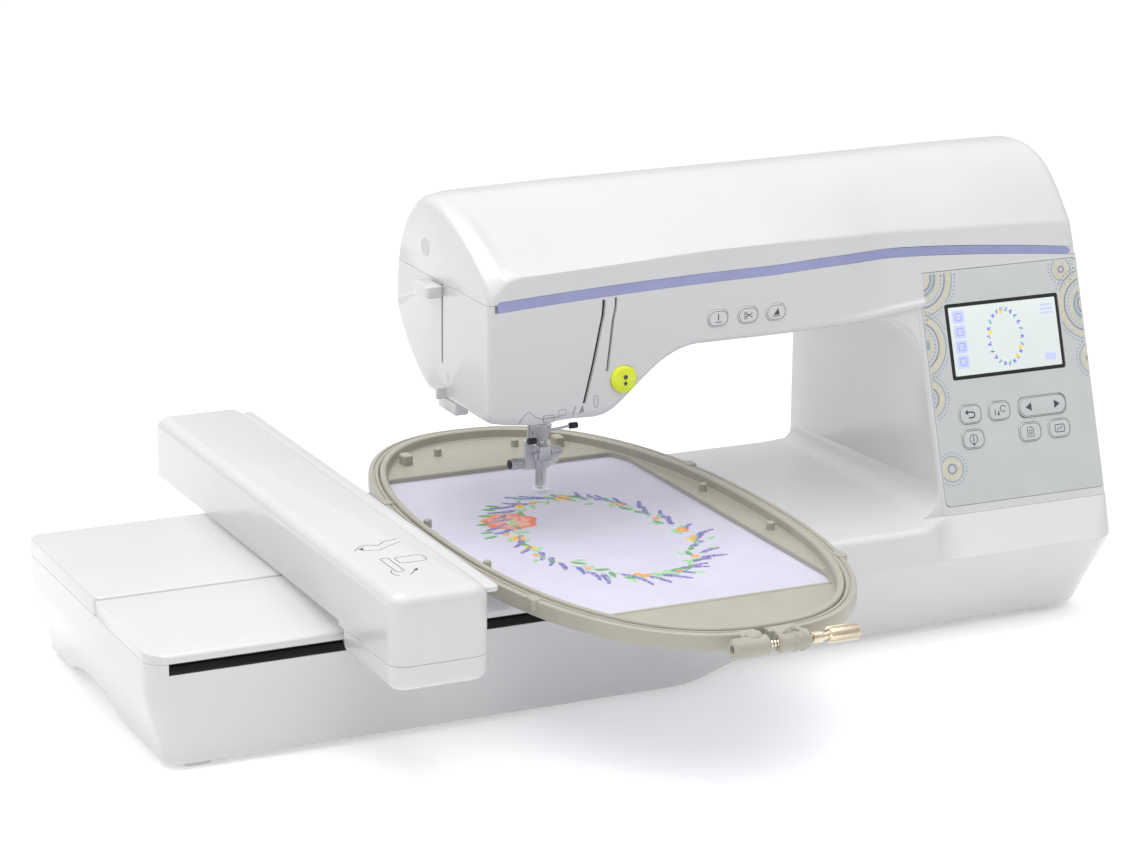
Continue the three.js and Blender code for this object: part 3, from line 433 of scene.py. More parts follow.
class Surface:
    """A Principled material whose detail follows the object's own coordinates."""

    def __init__(self, name, color, roughness, **settings):
        self.material = bpy.data.materials.new(name)
        self.material.use_nodes = True
        self.tree = self.material.node_tree
        self.shader = self.tree.nodes["Principled BSDF"]
        self.shader.inputs["Base Color"].default_value = (*color, 1)
        self.shader.inputs["Roughness"].default_value = roughness
        for socket, value in settings.items():
            self.shader.inputs[socket.replace("_", " ")].default_value = value
        self.color = color
        self.roughness = roughness
        self.coordinates = self.add("ShaderNodeTexCoord").outputs["Object"]
        self.height = None

    def add(self, kind, **values):
        node = self.tree.nodes.new(kind)
        for key, value in values.items():
            if key in node.bl_rna.properties:
                setattr(node, key, value)
            else:
                node.inputs[key.replace("_", " ")].default_value = value
        return node

    def link(self, output, socket):
        self.tree.links.new(output, socket)

    def noise(self, scale, detail=3, stretch=(1, 1, 1)):
        mapping = self.add("ShaderNodeMapping")
        mapping.inputs["Scale"].default_value = stretch
        self.link(self.coordinates, mapping.inputs["Vector"])
        noise = self.add("ShaderNodeTexNoise", Scale=scale, Detail=detail)
        self.link(mapping.outputs["Vector"], noise.inputs["Vector"])
        return noise.outputs["Fac"]

    def ramp(self, source, low, high, start=0.35, end=0.65):
        ramp = self.add("ShaderNodeValToRGB")
        for element, position, color in zip(ramp.color_ramp.elements, (start, end), (low, high)):
            element.position, element.color = position, (*color, 1)
        self.link(source, ramp.inputs["Fac"])
        return ramp.outputs["Color"]

    def mottle(self, scale, amount):
        """Slight colour change from place to place."""
        dark = [c * (1 - amount) for c in self.color]
        light = [min(1, c * (1 + amount)) for c in self.color]
        self.link(self.ramp(self.noise(scale), dark, light), self.shader.inputs["Base Color"])
        return self

    def polish(self, scale, spread, stretch=(1, 1, 1)):
        """Slight change of roughness, as handling and moulding leave."""
        span = self.add("ShaderNodeMapRange")
        span.inputs["To Min"].default_value = max(0.02, self.roughness - spread)
        span.inputs["To Max"].default_value = self.roughness + spread
        self.link(self.noise(scale, 4, stretch), span.inputs["Value"])
        self.link(span.outputs["Result"], self.shader.inputs["Roughness"])
        return self

    def bump(self, source, strength, distance):
        bump = self.add("ShaderNodeBump", Strength=strength, Distance=distance)
        self.link(source, bump.inputs["Height"])
        if self.height is not None:
            self.link(self.height, bump.inputs["Normal"])
        self.height = bump.outputs["Normal"]
        self.link(self.height, self.shader.inputs["Normal"])
        return self

    def grain(self, scale, strength, distance=GRAIN_DEPTH, stretch=(1, 1, 1)):
        return self.bump(self.noise(scale, 2, stretch), strength, distance)


def finish(name, color, roughness, mottle, grain, polish=None, **settings):
    """A material with its colour variation, its polish and its fine grain."""
    surface = Surface(name, color, roughness, **settings).mottle(*mottle)
    if polish:
        surface.polish(*polish)
    return surface.grain(*grain).material


def ink(name, color):
    return finish(name, color, 0.5, (500, 0.08), (4000, 0.1))


def screen_glow(name, color, strength):
    return finish(name, color, 0.18, (24, 0.03), (6000, 0.04), Coat_Weight=0.5, Emission_Strength=strength,
                  Emission_Color=(*color, 1))


def thread(name, color):
    return finish("thread_" + name, color, 0.42, (700, 0.14), (5200, 0.35, GRAIN_DEPTH, (1, 1, 3)),
                  Sheen_Weight=0.4, Anisotropic=0.4)


def woven_cotton():
    """Plain weave: warp and weft waves, with slubs and a faint lilac tint."""
    surface = Surface("woven_cotton", (0.575, 0.56, 0.67), 0.85, Sheen_Weight=0.35, Sheen_Roughness=0.5)
    surface.mottle(30, 0.03)
    threads = []
    for direction in ("X", "Y"):
        wave = surface.add("ShaderNodeTexWave", Scale=420, Distortion=1.2, Detail=2, Detail_Scale=1.5)
        wave.bands_direction = direction
        surface.link(surface.coordinates, wave.inputs["Vector"])
        threads.append(wave.outputs["Fac"])
    weave = surface.add("ShaderNodeMath", operation="MULTIPLY")
    surface.link(threads[0], weave.inputs[0])
    surface.link(threads[1], weave.inputs[1])
    surface.bump(weave.outputs["Value"], 0.35, 0.0002)
    return surface.bump(surface.noise(55, 4), 0.2, 0.0012).material


WHITE = finish("pearl_white_plastic", (0.61, 0.613, 0.617), 0.22, (14, 0.012), (2600, 0.05), (30, 0.03),
               Coat_Weight=0.3, Coat_Roughness=0.1)
SATIN_WHITE = finish("satin_white_plastic", (0.56, 0.565, 0.57), 0.34, (20, 0.015), (3000, 0.12), (40, 0.05))
LAVENDER = finish("lavender_trim", (0.3, 0.32, 0.54), 0.33, (60, 0.04), (4000, 0.1), Metallic=0.2)
SILVER = finish("silver_overlay", (0.56, 0.575, 0.575), 0.3, (35, 0.02), (5200, 0.14), Metallic=0.12,
                Coat_Weight=0.2)
TAUPE = finish("taupe_plastic", (0.4, 0.38, 0.32), 0.36, (45, 0.03), (1900, 0.2), (60, 0.05))
BLACK = finish("black_plastic", (0.018, 0.018, 0.02), 0.38, (50, 0.2), (2600, 0.25))
# Near-black: painted shade inside slots and gaps, and also the screen bezel's own black.
SHADOW = finish("shadow_black", (0.006, 0.006, 0.007), 0.6, (40, 0.2), (900, 0.2))
LIME = finish("lime_button", (0.72, 0.8, 0.02), 0.22, (90, 0.06), (3200, 0.08), Coat_Weight=0.4,
              Subsurface_Weight=0.15, Subsurface_Radius=(0.002, 0.002, 0.0006))
STEEL = finish("brushed_steel", (0.62, 0.625, 0.64), 0.24, (120, 0.05), (1400, 0.12, GRAIN_DEPTH, (1, 1, 12)),
               (400, 0.08, (1, 1, 9)), Metallic=1)
CAST = finish("cast_metal", (0.46, 0.47, 0.49), 0.5, (70, 0.1), (700, 0.5, 0.0003), Metallic=0.85)
NICKEL = finish("warm_nickel", (0.72, 0.64, 0.5), 0.24, (200, 0.06), (2400, 0.15), Metallic=1)
RUBBER = finish("rubber", (0.03, 0.03, 0.032), 0.8, (80, 0.15), (1500, 0.4))
CLEAR = finish("milky_clear_plastic", (0.86, 0.88, 0.9), 0.14, (60, 0.02), (1800, 0.05),
               Transmission_Weight=0.35, IOR=1.49)
BOARD = finish("green_board", (0.03, 0.19, 0.08), 0.4, (300, 0.25), (900, 0.3))
DARK_INK = ink("dark_ink", (0.06, 0.06, 0.07))
GREY_INK = ink("grey_ink", (0.27, 0.28, 0.3))
CREAM_INK = ink("cream_ink", (0.6, 0.55, 0.43))
BLUE_INK = ink("blue_grey_ink", (0.3, 0.38, 0.41))
SCREEN = screen_glow("screen_white", (0.66, 0.71, 0.7), 0.16)
SCREEN_LILAC = screen_glow("screen_lilac", (0.5, 0.55, 0.85), 0.2)
SCREEN_VIOLET = screen_glow("screen_violet", (0.22, 0.22, 0.7), 0.15)
SCREEN_GREEN = screen_glow("screen_green", (0.35, 0.7, 0.38), 0.15)
SCREEN_YELLOW = screen_glow("screen_yellow", (0.85, 0.62, 0.1), 0.15)

FRAME_FINISHES = {  # the finish of each of the frame's material slots
    "steel": STEEL, "cast_metal": CAST, "rubber": RUBBER, "board_green": BOARD, "clear_plastic": CLEAR,
    "black_plastic": BLACK, "body_white": WHITE, "panel_silver": SILVER, "nickel": NICKEL,
    "stripe_lavender": LAVENDER, "screen_black": BLACK, "button_lime": LIME, "hoop_taupe": TAUPE,
}


for part in frame["record"]["subparts"]:
    if part["material_slot"] in FRAME_FINISHES:
        materials = frame["nodes"][part["node"]].data.materials
        materials.clear()
        materials.append(FRAME_FINISHES[part["material_slot"]])


# ---- Upper casings ----
def seam_z(x):
    """The joint line under the lavender stripe: it falls from its highest point to both ends."""
    peak_x, peak_z = 445, 240.8
    reach, fall = (203, 6.2) if x < peak_x else (210, 10.6)
    return peak_z - fall * ((x - peak_x) / reach) ** 2


def panel_y(z):
    return PANEL["y"] + (z - PANEL["z"]) * tan(PANEL["lean"])


# Outlines of the head and arm, as (x, value) pairs: y of the front wall at its foot and at its top, z of
# the underside, y of the back, z of the top and of the lid's front crease, and the lid's slope in degrees.
FRONT_LOW = [(236, 60), (430, 60), (490, 64), (520, 66.5), (549, 68.6)]
FRONT_TOP = [(236, 60), (430, 60), (490, 68.5), (520, 75), (549, 76.7)]
UNDERSIDE = [(236, 167), (244, 164.6), (268, 161.6), (290, 163.4), (314, 162.4), (324, 168.6), (337, 180.6),
             (354, 194.6), (371, 201.5), (490, 201.5), (549, 206)]
BACK = [(236, 197), (244, 212), (262, 226), (290, 231)]
TOP = [(236, 286.6), (242, 288), (256, 289.4), (290, 289.6), (325, 290.5), (400, 291), (480, 291.5),
       (560, 292.5), (600, 293)]
CREASE = [(236, 243), (242.5, 245), (244, 249), (250, 254), (256, 255.4), (309, 257), (350, 259.2),
          (400, 260.8), (430, 260.8), (490, 257.2), (518, 255.5), (562, 253.5), (600, 252.6), (664, 250)]
SLOPE = [(236, 62), (243, 58), (252, 27), (262, 24), (430, 25), (549, 42), (664, 50)]
LEVEL_OFF = [(430, 20), (549, 28), (664, 32)]  # how far before the ridge the lid turns level
# Depth and height of the rounding between the back and the underside.
CORNER_Y = [(236, 56), (262, 50), (290, 36), (317, 24), (337, 14), (354, 10), (490, 10), (549, 5)]
CORNER_Z = [(236, 42), (262, 32), (290, 24), (317, 18), (337, 12), (354, 10), (490, 10), (549, 5)]
END_FRONT, END_TOP, END_RIGHT = 3.6, 7, 8  # radii of the rounded ends
CREASE_RADIUS, HEAD_CREASE_RADIUS = 2.6, 8
UNDER_EDGE_RADIUS = 5


def end_pull(x, radius):
    """Rounding at the head's left end and the column's right end."""
    return rounding(x - LEFT_X, radius) + rounding(RIGHT_X - x, END_RIGHT)


def bezier(a, b, c, d, shares):
    """Points of a cubic Bezier curve."""
    weights = [((1 - t) ** 3, 3 * (1 - t) ** 2 * t, 3 * (1 - t) * t * t, t ** 3) for t in shares]
    return [tuple(sum(w * p[k] for w, p in zip(row, (a, b, c, d))) for k in (0, 1)) for row in weights]


def front_path(x):
    """The front half of the section at x: (y, z) from the underside over the crease up to the ridge."""
    pull = end_pull(x, END_FRONT)
    low = softened(UNDERSIDE, x) + end_pull(x, 4)
    front_low = softened(FRONT_LOW, x) + pull
    front_top = softened(FRONT_TOP, x) + pull
    top = softened(TOP, x, 4) - end_pull(x, END_TOP)
    crease = softened(CREASE, x, 3) - rounding(RIGHT_X - x, END_RIGHT) / 2
    rise = radians(softened(SLOPE, x, 3))  # the lid's slope just behind the crease
    soft = mix(HEAD_CREASE_RADIUS, CREASE_RADIUS, ease(x, 240, 266))
    edge = UNDER_EDGE_RADIUS
    tangent = 29  # length of the curve's first handle

    def wall(z):
        return mix(front_low, front_top, (z - low) / (SHOULDER_Z - low))

    path = [(RIDGE_Y, low)]
    path += arc((front_low + edge, low + edge), edge, 270, 180, 8)
    path += [(wall(z), z) for z in steps(low + edge + 2, crease - soft, 12)]
    start = (wall(crease), crease)
    leaving = (start[0] + tangent * cos(rise), start[1] + tangent * sin(rise))
    shares = steps(soft / (3 * tangent), 1, 44)
    slope = bezier(start, leaving, (RIDGE_Y - lookup(LEVEL_OFF, x), top), (RIDGE_Y, top), shares)
    path += bezier(path[-1], start, start, slope[0], steps(0.2, 0.8, 5))
    return path + slope


def rear_path(x):
    """The rear half of the section at x: underside, back and the top's rear half, up to the ridge."""
    low = softened(UNDERSIDE, x) + end_pull(x, 4)
    back = softened(BACK, x, 5) - rounding(RIGHT_X - x, END_RIGHT)
    top = softened(TOP, x, 4) - end_pull(x, END_TOP)
    across = min(softened(CORNER_Y, x), back - RIDGE_Y - 1)
    tall = softened(CORNER_Z, x)
    power = mix(1.54, 1, ease(x, 262, 330))  # fuller than round under the head
    bulge = 0.9
    path = [(RIDGE_Y, low)]
    path += [(back - across * (1 - cos(a) ** power), low + tall * (1 - sin(a) ** power))
             for a in steps(pi / 2, 0, 16)]
    path += [(RIDGE_Y + (back - RIDGE_Y) * sin(a) ** bulge,
              BACK_SHOULDER_Z + (top - BACK_SHOULDER_Z) * cos(a) ** bulge) for a in steps(pi / 2, 0, 34)]
    return path


def stripe_height(x):
    return lookup([(STRIPE_START, 6.3), (360, 6), (530, 5.5), (STRIPE_END, 4.6)], x)


def split_at(path, z):
    """A rising path cut at height z into its lower and upper part."""
    for i in range(1, len(path)):
        if path[i][1] > z >= path[i - 1][1]:
            share = (z - path[i - 1][1]) / (path[i][1] - path[i - 1][1])
            meeting = (mix(path[i - 1][0], path[i][0], share), z)
            return path[:i] + [meeting], [meeting] + path[i:]
    return path, path[-1:]


def end_stations(start, end, radius, count=7):
    """Stations that crowd towards a rounded end, from the end face inwards."""
    sign = 1 if end > start else -1
    return [start + sign * radius * (1 - cos(a)) for a in quarter(count)]


def make_lid():
    stations = end_stations(LEFT_X, RIGHT_X, END_TOP, 9)
    stations += steps(LEFT_X + END_TOP + 0.6, 262, 18) + steps(264, RIGHT_X - END_RIGHT - 2, 134)
    stations += end_stations(RIGHT_X, LEFT_X, END_RIGHT)[::-1]
    rows = []
    for x in stations:
        lift = seam_z(x) + STRIPE_HEIGHT + SEAM
        above_stripe = lift if x < STRIPE_START else seam_z(x) + stripe_height(x) + 2 * SEAM
        front = resample(split_at(front_path(x), above_stripe)[1], 96)
        rear = resample(split_at(rear_path(x), lift)[1], 70)
        rows.append(at_x(x, front + rear[::-1][1:]))
    show(shell("lid_shell", rows, (450, RIDGE_Y, 250), caps=True), WHITE, "lid", replaces=["top_lid"])
    profile = [(5.8, 0.4), (5.8, -0.05), (5.3, -0.3), (4.9, -0.05), (0.1, -0.05)]
    show(lathe("lid_end_recess", profile, (LEFT_X, 155.4, 255.9), "x"), SATIN_WHITE, "lid")


def make_face_cover():
    """The cover over the head's left end, with its threader slot and a small recess."""
    rows = []
    for x in end_stations(LEFT_X, RIGHT_X, 4, 5) + [FACE_END - SEAM]:
        lift = seam_z(x) + STRIPE_HEIGHT - SEAM
        front = resample(split_at(front_path(x), lift)[0], 110)
        rear = resample(split_at(rear_path(x), lift)[0], 110)
        rows.append(at_x(x, front[::-1] + rear[1:]))
    made = solid_rows("face_shell", rows)
    threader_slot = pocket((129.2, 213.3), 2.6, 50.6, 1.2, sideways, 230, 245)
    carve(made, [threader_slot, pocket((124.7, 171), 3, 8, 1.4, sideways, 230, 238.4)])
    show(made, WHITE, replaces=["face_cover"])
    # A black sheet behind the threader slot: painted shade for its inside.
    show_painted_shade(slab("face_slot_painted_shade", (239, 239.6), (120, 140), (167, 242), 0.2, 0.1, 0.1))
    show(slab("face_lip", (236.6, 246), (111, 138), (158.8, 166), 1.6, 0.5, 1.4), WHITE)
    arrow = [(119.4, 184), (122.6, 184), (122.6, 181.6), (121, 179), (119.4, 181.6)]
    print_marks("face_arrow", GREY_INK, lambda u, v, n: (LEFT_X - n, u, v), [(arrow, 0.35, True)])


THREAD_SLOTS = [  # width, and the line from top to bottom
    (2.3, [(312.3, 236.5), (312, 228), (309.9, 218.2), (305.5, 196.8), (299.7, 173)]),
    (1.7, [(320.4, 237.2), (320.2, 231), (318.6, 223.5), (314.9, 191.4)]),
]


def front_cutters():
    """Openings in the front casing: thread slots, start button and arm keys."""
    cutters = []
    for width, points in THREAD_SLOTS:
        lefts, rights = stroke(resample(points, 14), width)
        cutters.append(prism("slot", lefts + rights[::-1], upright, 50, 66))
    centre = (START_BUTTON["x"], START_BUTTON["z"])
    cutters.append(prism("hole", arc(centre, START_BUTTON["radius"] + 0.4, 0, 352.5, 48), upright, 50, 70))
    for x in ARM_KEYS.values():
        cutters.append(pocket((x, ARM_KEY_Z), 14.8, 11.3, 5.2, upright, 50, 72))
    return cutters


def needle_opening():
    return pocket((320, 168), 64, 64, 6, level, 150, 199)


def make_arm_casings():
    stations = [FACE_END + SEAM] + steps(FACE_END + 2.5, COLUMN_X + 6, 126)
    fronts, rears = [], []
    for x in stations:
        front = split_at(front_path(x), seam_z(x) - SEAM / 2)[0]
        fronts.append(at_x(x, resample(front, 130)))
        rear = split_at(rear_path(x), seam_z(x) + STRIPE_HEIGHT - SEAM)[0]
        rears.append(at_x(x, resample(rear, 130)))
    front = shell("front_shell", fronts, (400, RIDGE_Y, 225))
    carve(front, front_cutters() + [needle_opening()])
    show(front, WHITE, replaces=["front_casing"])
    rear = shell("rear_shell", rears, (400, RIDGE_Y, 225))
    lever_hole = prism("hole", arc((300, 196), 4.4, 0, 345, 24), upright, 222, 240)
    carve(rear, [needle_opening(), lever_hole])
    show(rear, WHITE, replaces=["rear_casing"])


def column_half(z_of, front):
    """One half of the column as upright strips that go round its front or its back, up to z_of(x)."""
    corner_left, corner_right = 3.5, 7
    side = -1 if front else 1
    # x, the share of the way from the joint line out to the face, and how far short of the face it ends
    plan = [(COLUMN_X, share, corner_left) for share in (0, 0.25, 0.5, 0.75)]
    plan += [(COLUMN_X + corner_left * (1 - cos(a)), 1, corner_left * (1 - sin(a))) for a in quarter(6)]
    plan += [(x, 1, 0) for x in steps(COLUMN_X + corner_left + 2, RIGHT_X - corner_right - 2, 26)]
    plan += [(RIGHT_X - corner_right * (1 - cos(a)), 1, corner_right * (1 - sin(a)))
             for a in steps(pi / 2, 0, 8)]
    plan += [(RIGHT_X, share, corner_right) for share in (0.75, 0.5, 0.25, 0)]
    strips = []
    for x, share, short in plan:
        strip = []
        for z in steps(BED_Z + SEAM, z_of(x), 60):
            reach = (panel_y(z) if front else BACK_Y) - side * short
            strip.append((x, mix(RIDGE_Y - side * SEAM / 2, reach, share), z))
        strips.append(strip)
    return strips


def vent_cutters():
    """Cooling slots low on the column's back."""
    return [pocket((x, 128), 2.6, 34, 1.2, upright, 222, 240, 4) for x in steps(566, 640, 14)]


def make_column():
    inside = (600, RIDGE_Y, 160)
    front = shell("column_front_shell", column_half(lambda x: seam_z(x) - SEAM / 2, True), inside)
    tall, wide = PANEL["height"], PANEL["width"]
    carve(front, [pocket((0, tall / 2), wide, tall, 3.5, panel_point, -14, 10)])
    show(front, WHITE, replaces=["front_casing"])
    rear = shell("column_rear_shell", column_half(lambda x: seam_z(x) + STRIPE_HEIGHT - SEAM, False), inside)
    wheel_hole = prism("hole", arc((SHAFT_Y, SHAFT_Z), 7.5, 0, 352.5, 48), sideways, 655, 672)
    carve(rear, vent_cutters() + [wheel_hole])
    show(rear, WHITE, replaces=["rear_casing"])


def panel_point(x, y, n):
    """A point of the control panel: x across, y up its slope, n out of it."""
    lean = PANEL["lean"]
    return (
        PANEL["x"] + x,
        PANEL["y"] + y * sin(lean) - n * cos(lean),
        PANEL["z"] + y * cos(lean) + n * sin(lean),
    )


def make_stripe():
    """The lavender strip along the seam, with a rounded right end."""
    rows = []
    for x in steps(STRIPE_START, STRIPE_END, 140):
        full = stripe_height(x)
        tall = full * sqrt(max(0.02, 1 - max(0, (x - STRIPE_BEND) / 3.6) ** 2))
        low = seam_z(x) + SEAM / 2 + (full - tall) / 2
        path = split_at(front_path(x), low)[1]
        path = split_at(path, low + tall)[0]
        rows.append(at_x(x, resample(path, 7)))
    inside = (450, RIDGE_Y, 225)
    strip = shell("stripe_strip", rows, inside, 1.6)
    show(strip, LAVENDER, replaces=["accent_stripe"])
    rows = []
    for x in steps(640, RIGHT_X - 0.6, 24):
        path = split_at(front_path(x), seam_z(x))[1]
        path = split_at(path, seam_z(x) + stripe_height(x) + SEAM)[0]
        rows.append([(x, y + 0.5, z) for y, z in resample(path, 7)])
    bed = shell("bed", rows, inside, 1.4)
    end_z = seam_z(RIGHT_X)
    height = (end_z - 0.3, end_z + 4.9)
    side = slab("side", (RIGHT_X - WALL, RIGHT_X), (83.4, RIDGE_Y - SEAM), height, 0.5, 0.3, 0.1)
    show(merge("stripe_bed", [bed, side]), WHITE)


def make_throat_fillets():
    """Rounded inner corners where the arm and the bed meet the column's left wall."""
    for name, corner_z, up, radii in (("throat_top_fillet", 202.6, -1, (26, 4)),
                                      ("throat_bed_fillet", BED_Z - 0.4, 1, (20, 12))):
        rows = []
        for share in steps(0, 1, 40):
            radius = mix(*radii, share ** 0.6)
            curve = [(COLUMN_X - radius * (1 - sin(a)), corner_z + up * radius * (1 - cos(a)))
                     for a in quarter(12)]
            behind = corner_z - up * (9 if up < 0 else 1)
            section = curve + [(COLUMN_X + 0.8, corner_z + up * radius), (COLUMN_X + 0.8, behind),
                               (COLUMN_X - radius, behind)]
            rows.append([(x, mix(panel_y(z) + 0.9, BACK_Y - 5, share), z) for x, z in section])
        made = solid_rows(name, rows)
        show(soften_edges(made, 2.2 if up < 0 else 0.8, 4, 50), WHITE)


make_lid()
make_face_cover()
make_arm_casings()
make_column()
make_throat_fillets()
make_stripe()


# ---- Base and embroidery unit ----
APRON = {"low": 58, "depth": 19.2}  # under the panel the wall leans back from the crease to the column
UNIT = {"right": 430, "rear": 232, "notch": 98.2, "top": 67.3}
UNIT_SLOT = (12, 424)


def apron_share(x):
    return ease(x, 512, 546)


def apron_climb(z):
    return max(0, z - APRON["low"]) / (BED_Z - APRON["low"])


def front_y(x, z):
    """How far back the front wall stands at a height: it leans inwards below its crease."""
    low = mix(5, 37, ease(x, 335, 412)) + 5 * ease(x, 412, 634)
    high = mix(0, 9, ease(x, 330, 440))
    crease = mix(47.6, 57.5, ease(x, 210, 450))
    wall = mix(low, high, min(1, max(0, z / crease)) ** 1.1)
    return wall + APRON["depth"] * apron_climb(z) * apron_share(x)


def bed_outline(z, inset, pull=0):
    """Plan of the machine's base at a height; `pull` rounds the bed's top edge left of the column."""
    left = UNIT["right"] + 2 * SEAM + inset
    right = RIGHT_X - inset - 6 * (1 - min(1, z / 50))
    widest, rear_radius = 24, 12
    radius = mix(widest, 7, min(1, apron_climb(z)))
    points = [(x, front_y(x, z) + inset + pull * (1 - apron_share(x)))
              for x in steps(left, right - widest, 60)]
    last = points[-1][1]
    points += [(right - radius + radius * sin(a), last + radius * (1 - cos(a))) for a in quarter(16)]
    back = BACK_Y - inset
    points += arc((right - rear_radius, back - rear_radius), rear_radius, 0, 90, 9)
    points += [(x, back - pull * (1 - apron_share(x))) for x in steps(right - 30, left, 30)]
    return points


def make_base():
    foot, edge = 4, 6  # radii of the lower and the upper edge
    levels = [(3 + foot * (1 - cos(a)), foot * (1 - sin(a)), 0) for a in quarter(5)]
    levels += [(z, 0, 0) for z in (12, 20, 30, 40, 48, 54, 56, 57.2, 58, 59, 62, 66, 70)]
    levels += [(BED_Z - edge + edge * sin(a), 0, edge * (1 - cos(a))) for a in quarter(9)]
    rows = [[(x, y, z) for x, y in bed_outline(z, inset, pull)] for z, inset, pull in levels]
    made = solid_rows("base_shell", rows)
    cutters = [
        pocket((548, 150), 220, 130, 10, level, -2, 74),  # the hollow underside
        pocket((110, 46), 20, 14, 2, sideways, 650, 670),  # mains switch
        pocket((160, 46), 28.8, 20.8, 3, sideways, 630, 670),  # mains inlet
        pocket((601, 134), 112, 176, 5, level, 70, 90),  # into the column
    ]
    cutters += [pocket((y, 26), 2.4, 12, 1.1, sideways, 650, 670, 4) for y in steps(100, 190, 16)]
    carve(made, cutters)
    show(made, WHITE, replaces=["base_casing"])
    arm = slab("free_arm_shell", (238, 440), (99, 229), (24, BED_Z), 8, 4, 6)
    hollow = slab("hollow", (241, 450), (102, 226), (27, 76.5), 6, 2, 2)
    seat = pocket((322, 152), 84.8, 98.8, 6, level, 78.4, 90)  # of the needle plate
    carve(arm, [hollow, seat, pocket((322, 152), 76, 90, 4, level, 70, 90)])
    show(arm, WHITE, replaces=["base_casing"])


def unit_outline(z, inset):
    """Plan of the embroidery unit: a long front limb, and a rear limb left of the free arm."""
    curl = 11 * (1 - ease(z, 3, 52)) + inset  # the left wall leans in towards the table
    right, notch, rear = (UNIT[side] - inset for side in ("right", "notch", "rear"))
    nose = 13
    points = [(curl + nose * (1 - cos(a)), front_y(0, z) + inset + nose * (1 - sin(a)))
              for a in quarter(10)]
    points += [(x, front_y(x, z) + inset) for x in steps(curl + nose + 4, right, 44)]
    points += [(right, notch), (340, notch), (rear + 0.5, notch), (rear, notch + 0.5), (rear, 190)]
    points += arc((rear - 6, rear - 6), 6, 0, 90, 6)
    points += arc((curl + 8, rear - 8), 8, 90, 180, 6)
    return points


def make_unit():
    levels = [(3 + 3 * (1 - cos(a)), 3 * (1 - sin(a))) for a in quarter(5)]
    levels += [(z, 0) for z in (9, 14, 20, 28, 36, 42, 46, 47.4, 48.6, 52, 60, 67)]
    rows = [[(x, y, z) for x, y in unit_outline(z, pull)] for z, pull in levels]
    made = solid_rows("unit_shell", rows)
    left, right = UNIT_SLOT
    slot = prism("slot", [(left, -10), (right, -10), (right, 60), (left, 60)], level, 60.1, 80)
    hollows = [prism("hollow", [(16, 12), (424, 44), (424, 94), (16, 94)], level, 20, 80),
               prism("hollow", [(14, 90), (228, 90), (228, 226), (14, 226)], level, 18, 80)]
    bow = [(86, -1), (91, 4.4), (99, 11.6), (112, 14.4), (156, 13.4), (176, 8.6), (190, -1)]
    carve(made, [slot, *hollows, prism("arch", bow, sideways, -5, 46)])
    pads = [slab("pad", (24, 40), (y, y + 20), (0, 4), 3, 0.2, 0.8) for y in (10, 204)]
    show(merge("unit_shell_with_pads", [made] + pads), WHITE, replaces=["unit_case"])
    # Black sheets at the back, floor and roof of the carriage slot: painted shade for its inside.
    show_painted_shade(slab("unit_slot_painted_shade", (left + 1, right - 1), (13, 14.5), (59.4, 70), 0.5, 0.3, 0.3))
    left, right = left + 0.2, right - 0.2
    strip = [(x, front_y(x, 60) + 0.9) for x in steps(left, right, 60)] + [(right, 13.4), (left, 13.4)]
    for name, low, high in (("unit_slot_floor_painted_shade", 59.2, 60.6), ("unit_slot_roof_painted_shade", 66.5, 67.4)):
        show_painted_shade(soften_edges(prism(name, strip, level, low, high), 0.2, 2, 60))


def make_unit_panels():
    """The two top panels meet in a groove; the front one rolls over into the nose."""
    low = UNIT["top"]
    nose = [(-1, low), (-1, 68.6)] + arc((3.2, 68.4), 4.2, 180, 96, 8) + [(14, 73.3), (60, 76)]
    nose += arc((93.4, 76.6), 1.2, 92, 0, 5) + [(94.6, low)]
    front = prism("unit_front_shell", nose, sideways, -1, UNIT["right"] + 1)
    carve(front, [prism("plan", unit_outline(low, 0), level, 60, 90)], "INTERSECT")
    carve(front, [prism("hollow", [(13, 60), (13, 70.4), (92, 74.4), (92, 60)], sideways, 4, 426)])
    soften_edges(front, 0.9, 3, 50)
    show(front, WHITE, replaces=["unit_front_panel"])
    rear = slab("unit_rear_shell", (0, UNIT["rear"]), (96, UNIT["rear"]), (low, 78.3), 6, 1.6, 0.2)
    carve(rear, [slab("hollow", (3, 229), (98.8, 229), (60, 75.4), 4, 0.2, 0.2)])
    show(rear, WHITE, replaces=["unit_rear_panel"])
    # A black sheet in the groove between the two panels: painted shade for its inside.
    show_painted_shade(slab("unit_groove_painted_shade", (3, 229), (94, 96.6), (68, 74.6), 0.4, 0.2, 0.2))


make_base()
make_unit()
make_unit_panels()


# ---- Carriage ----
def carriage_slab(name, y, z, top, bottom, inset=0):
    x = (CARRIAGE["left"] + inset, CARRIAGE["right"] - inset)
    return slab(name, x, y, z, 10 - inset, top, bottom, 10)


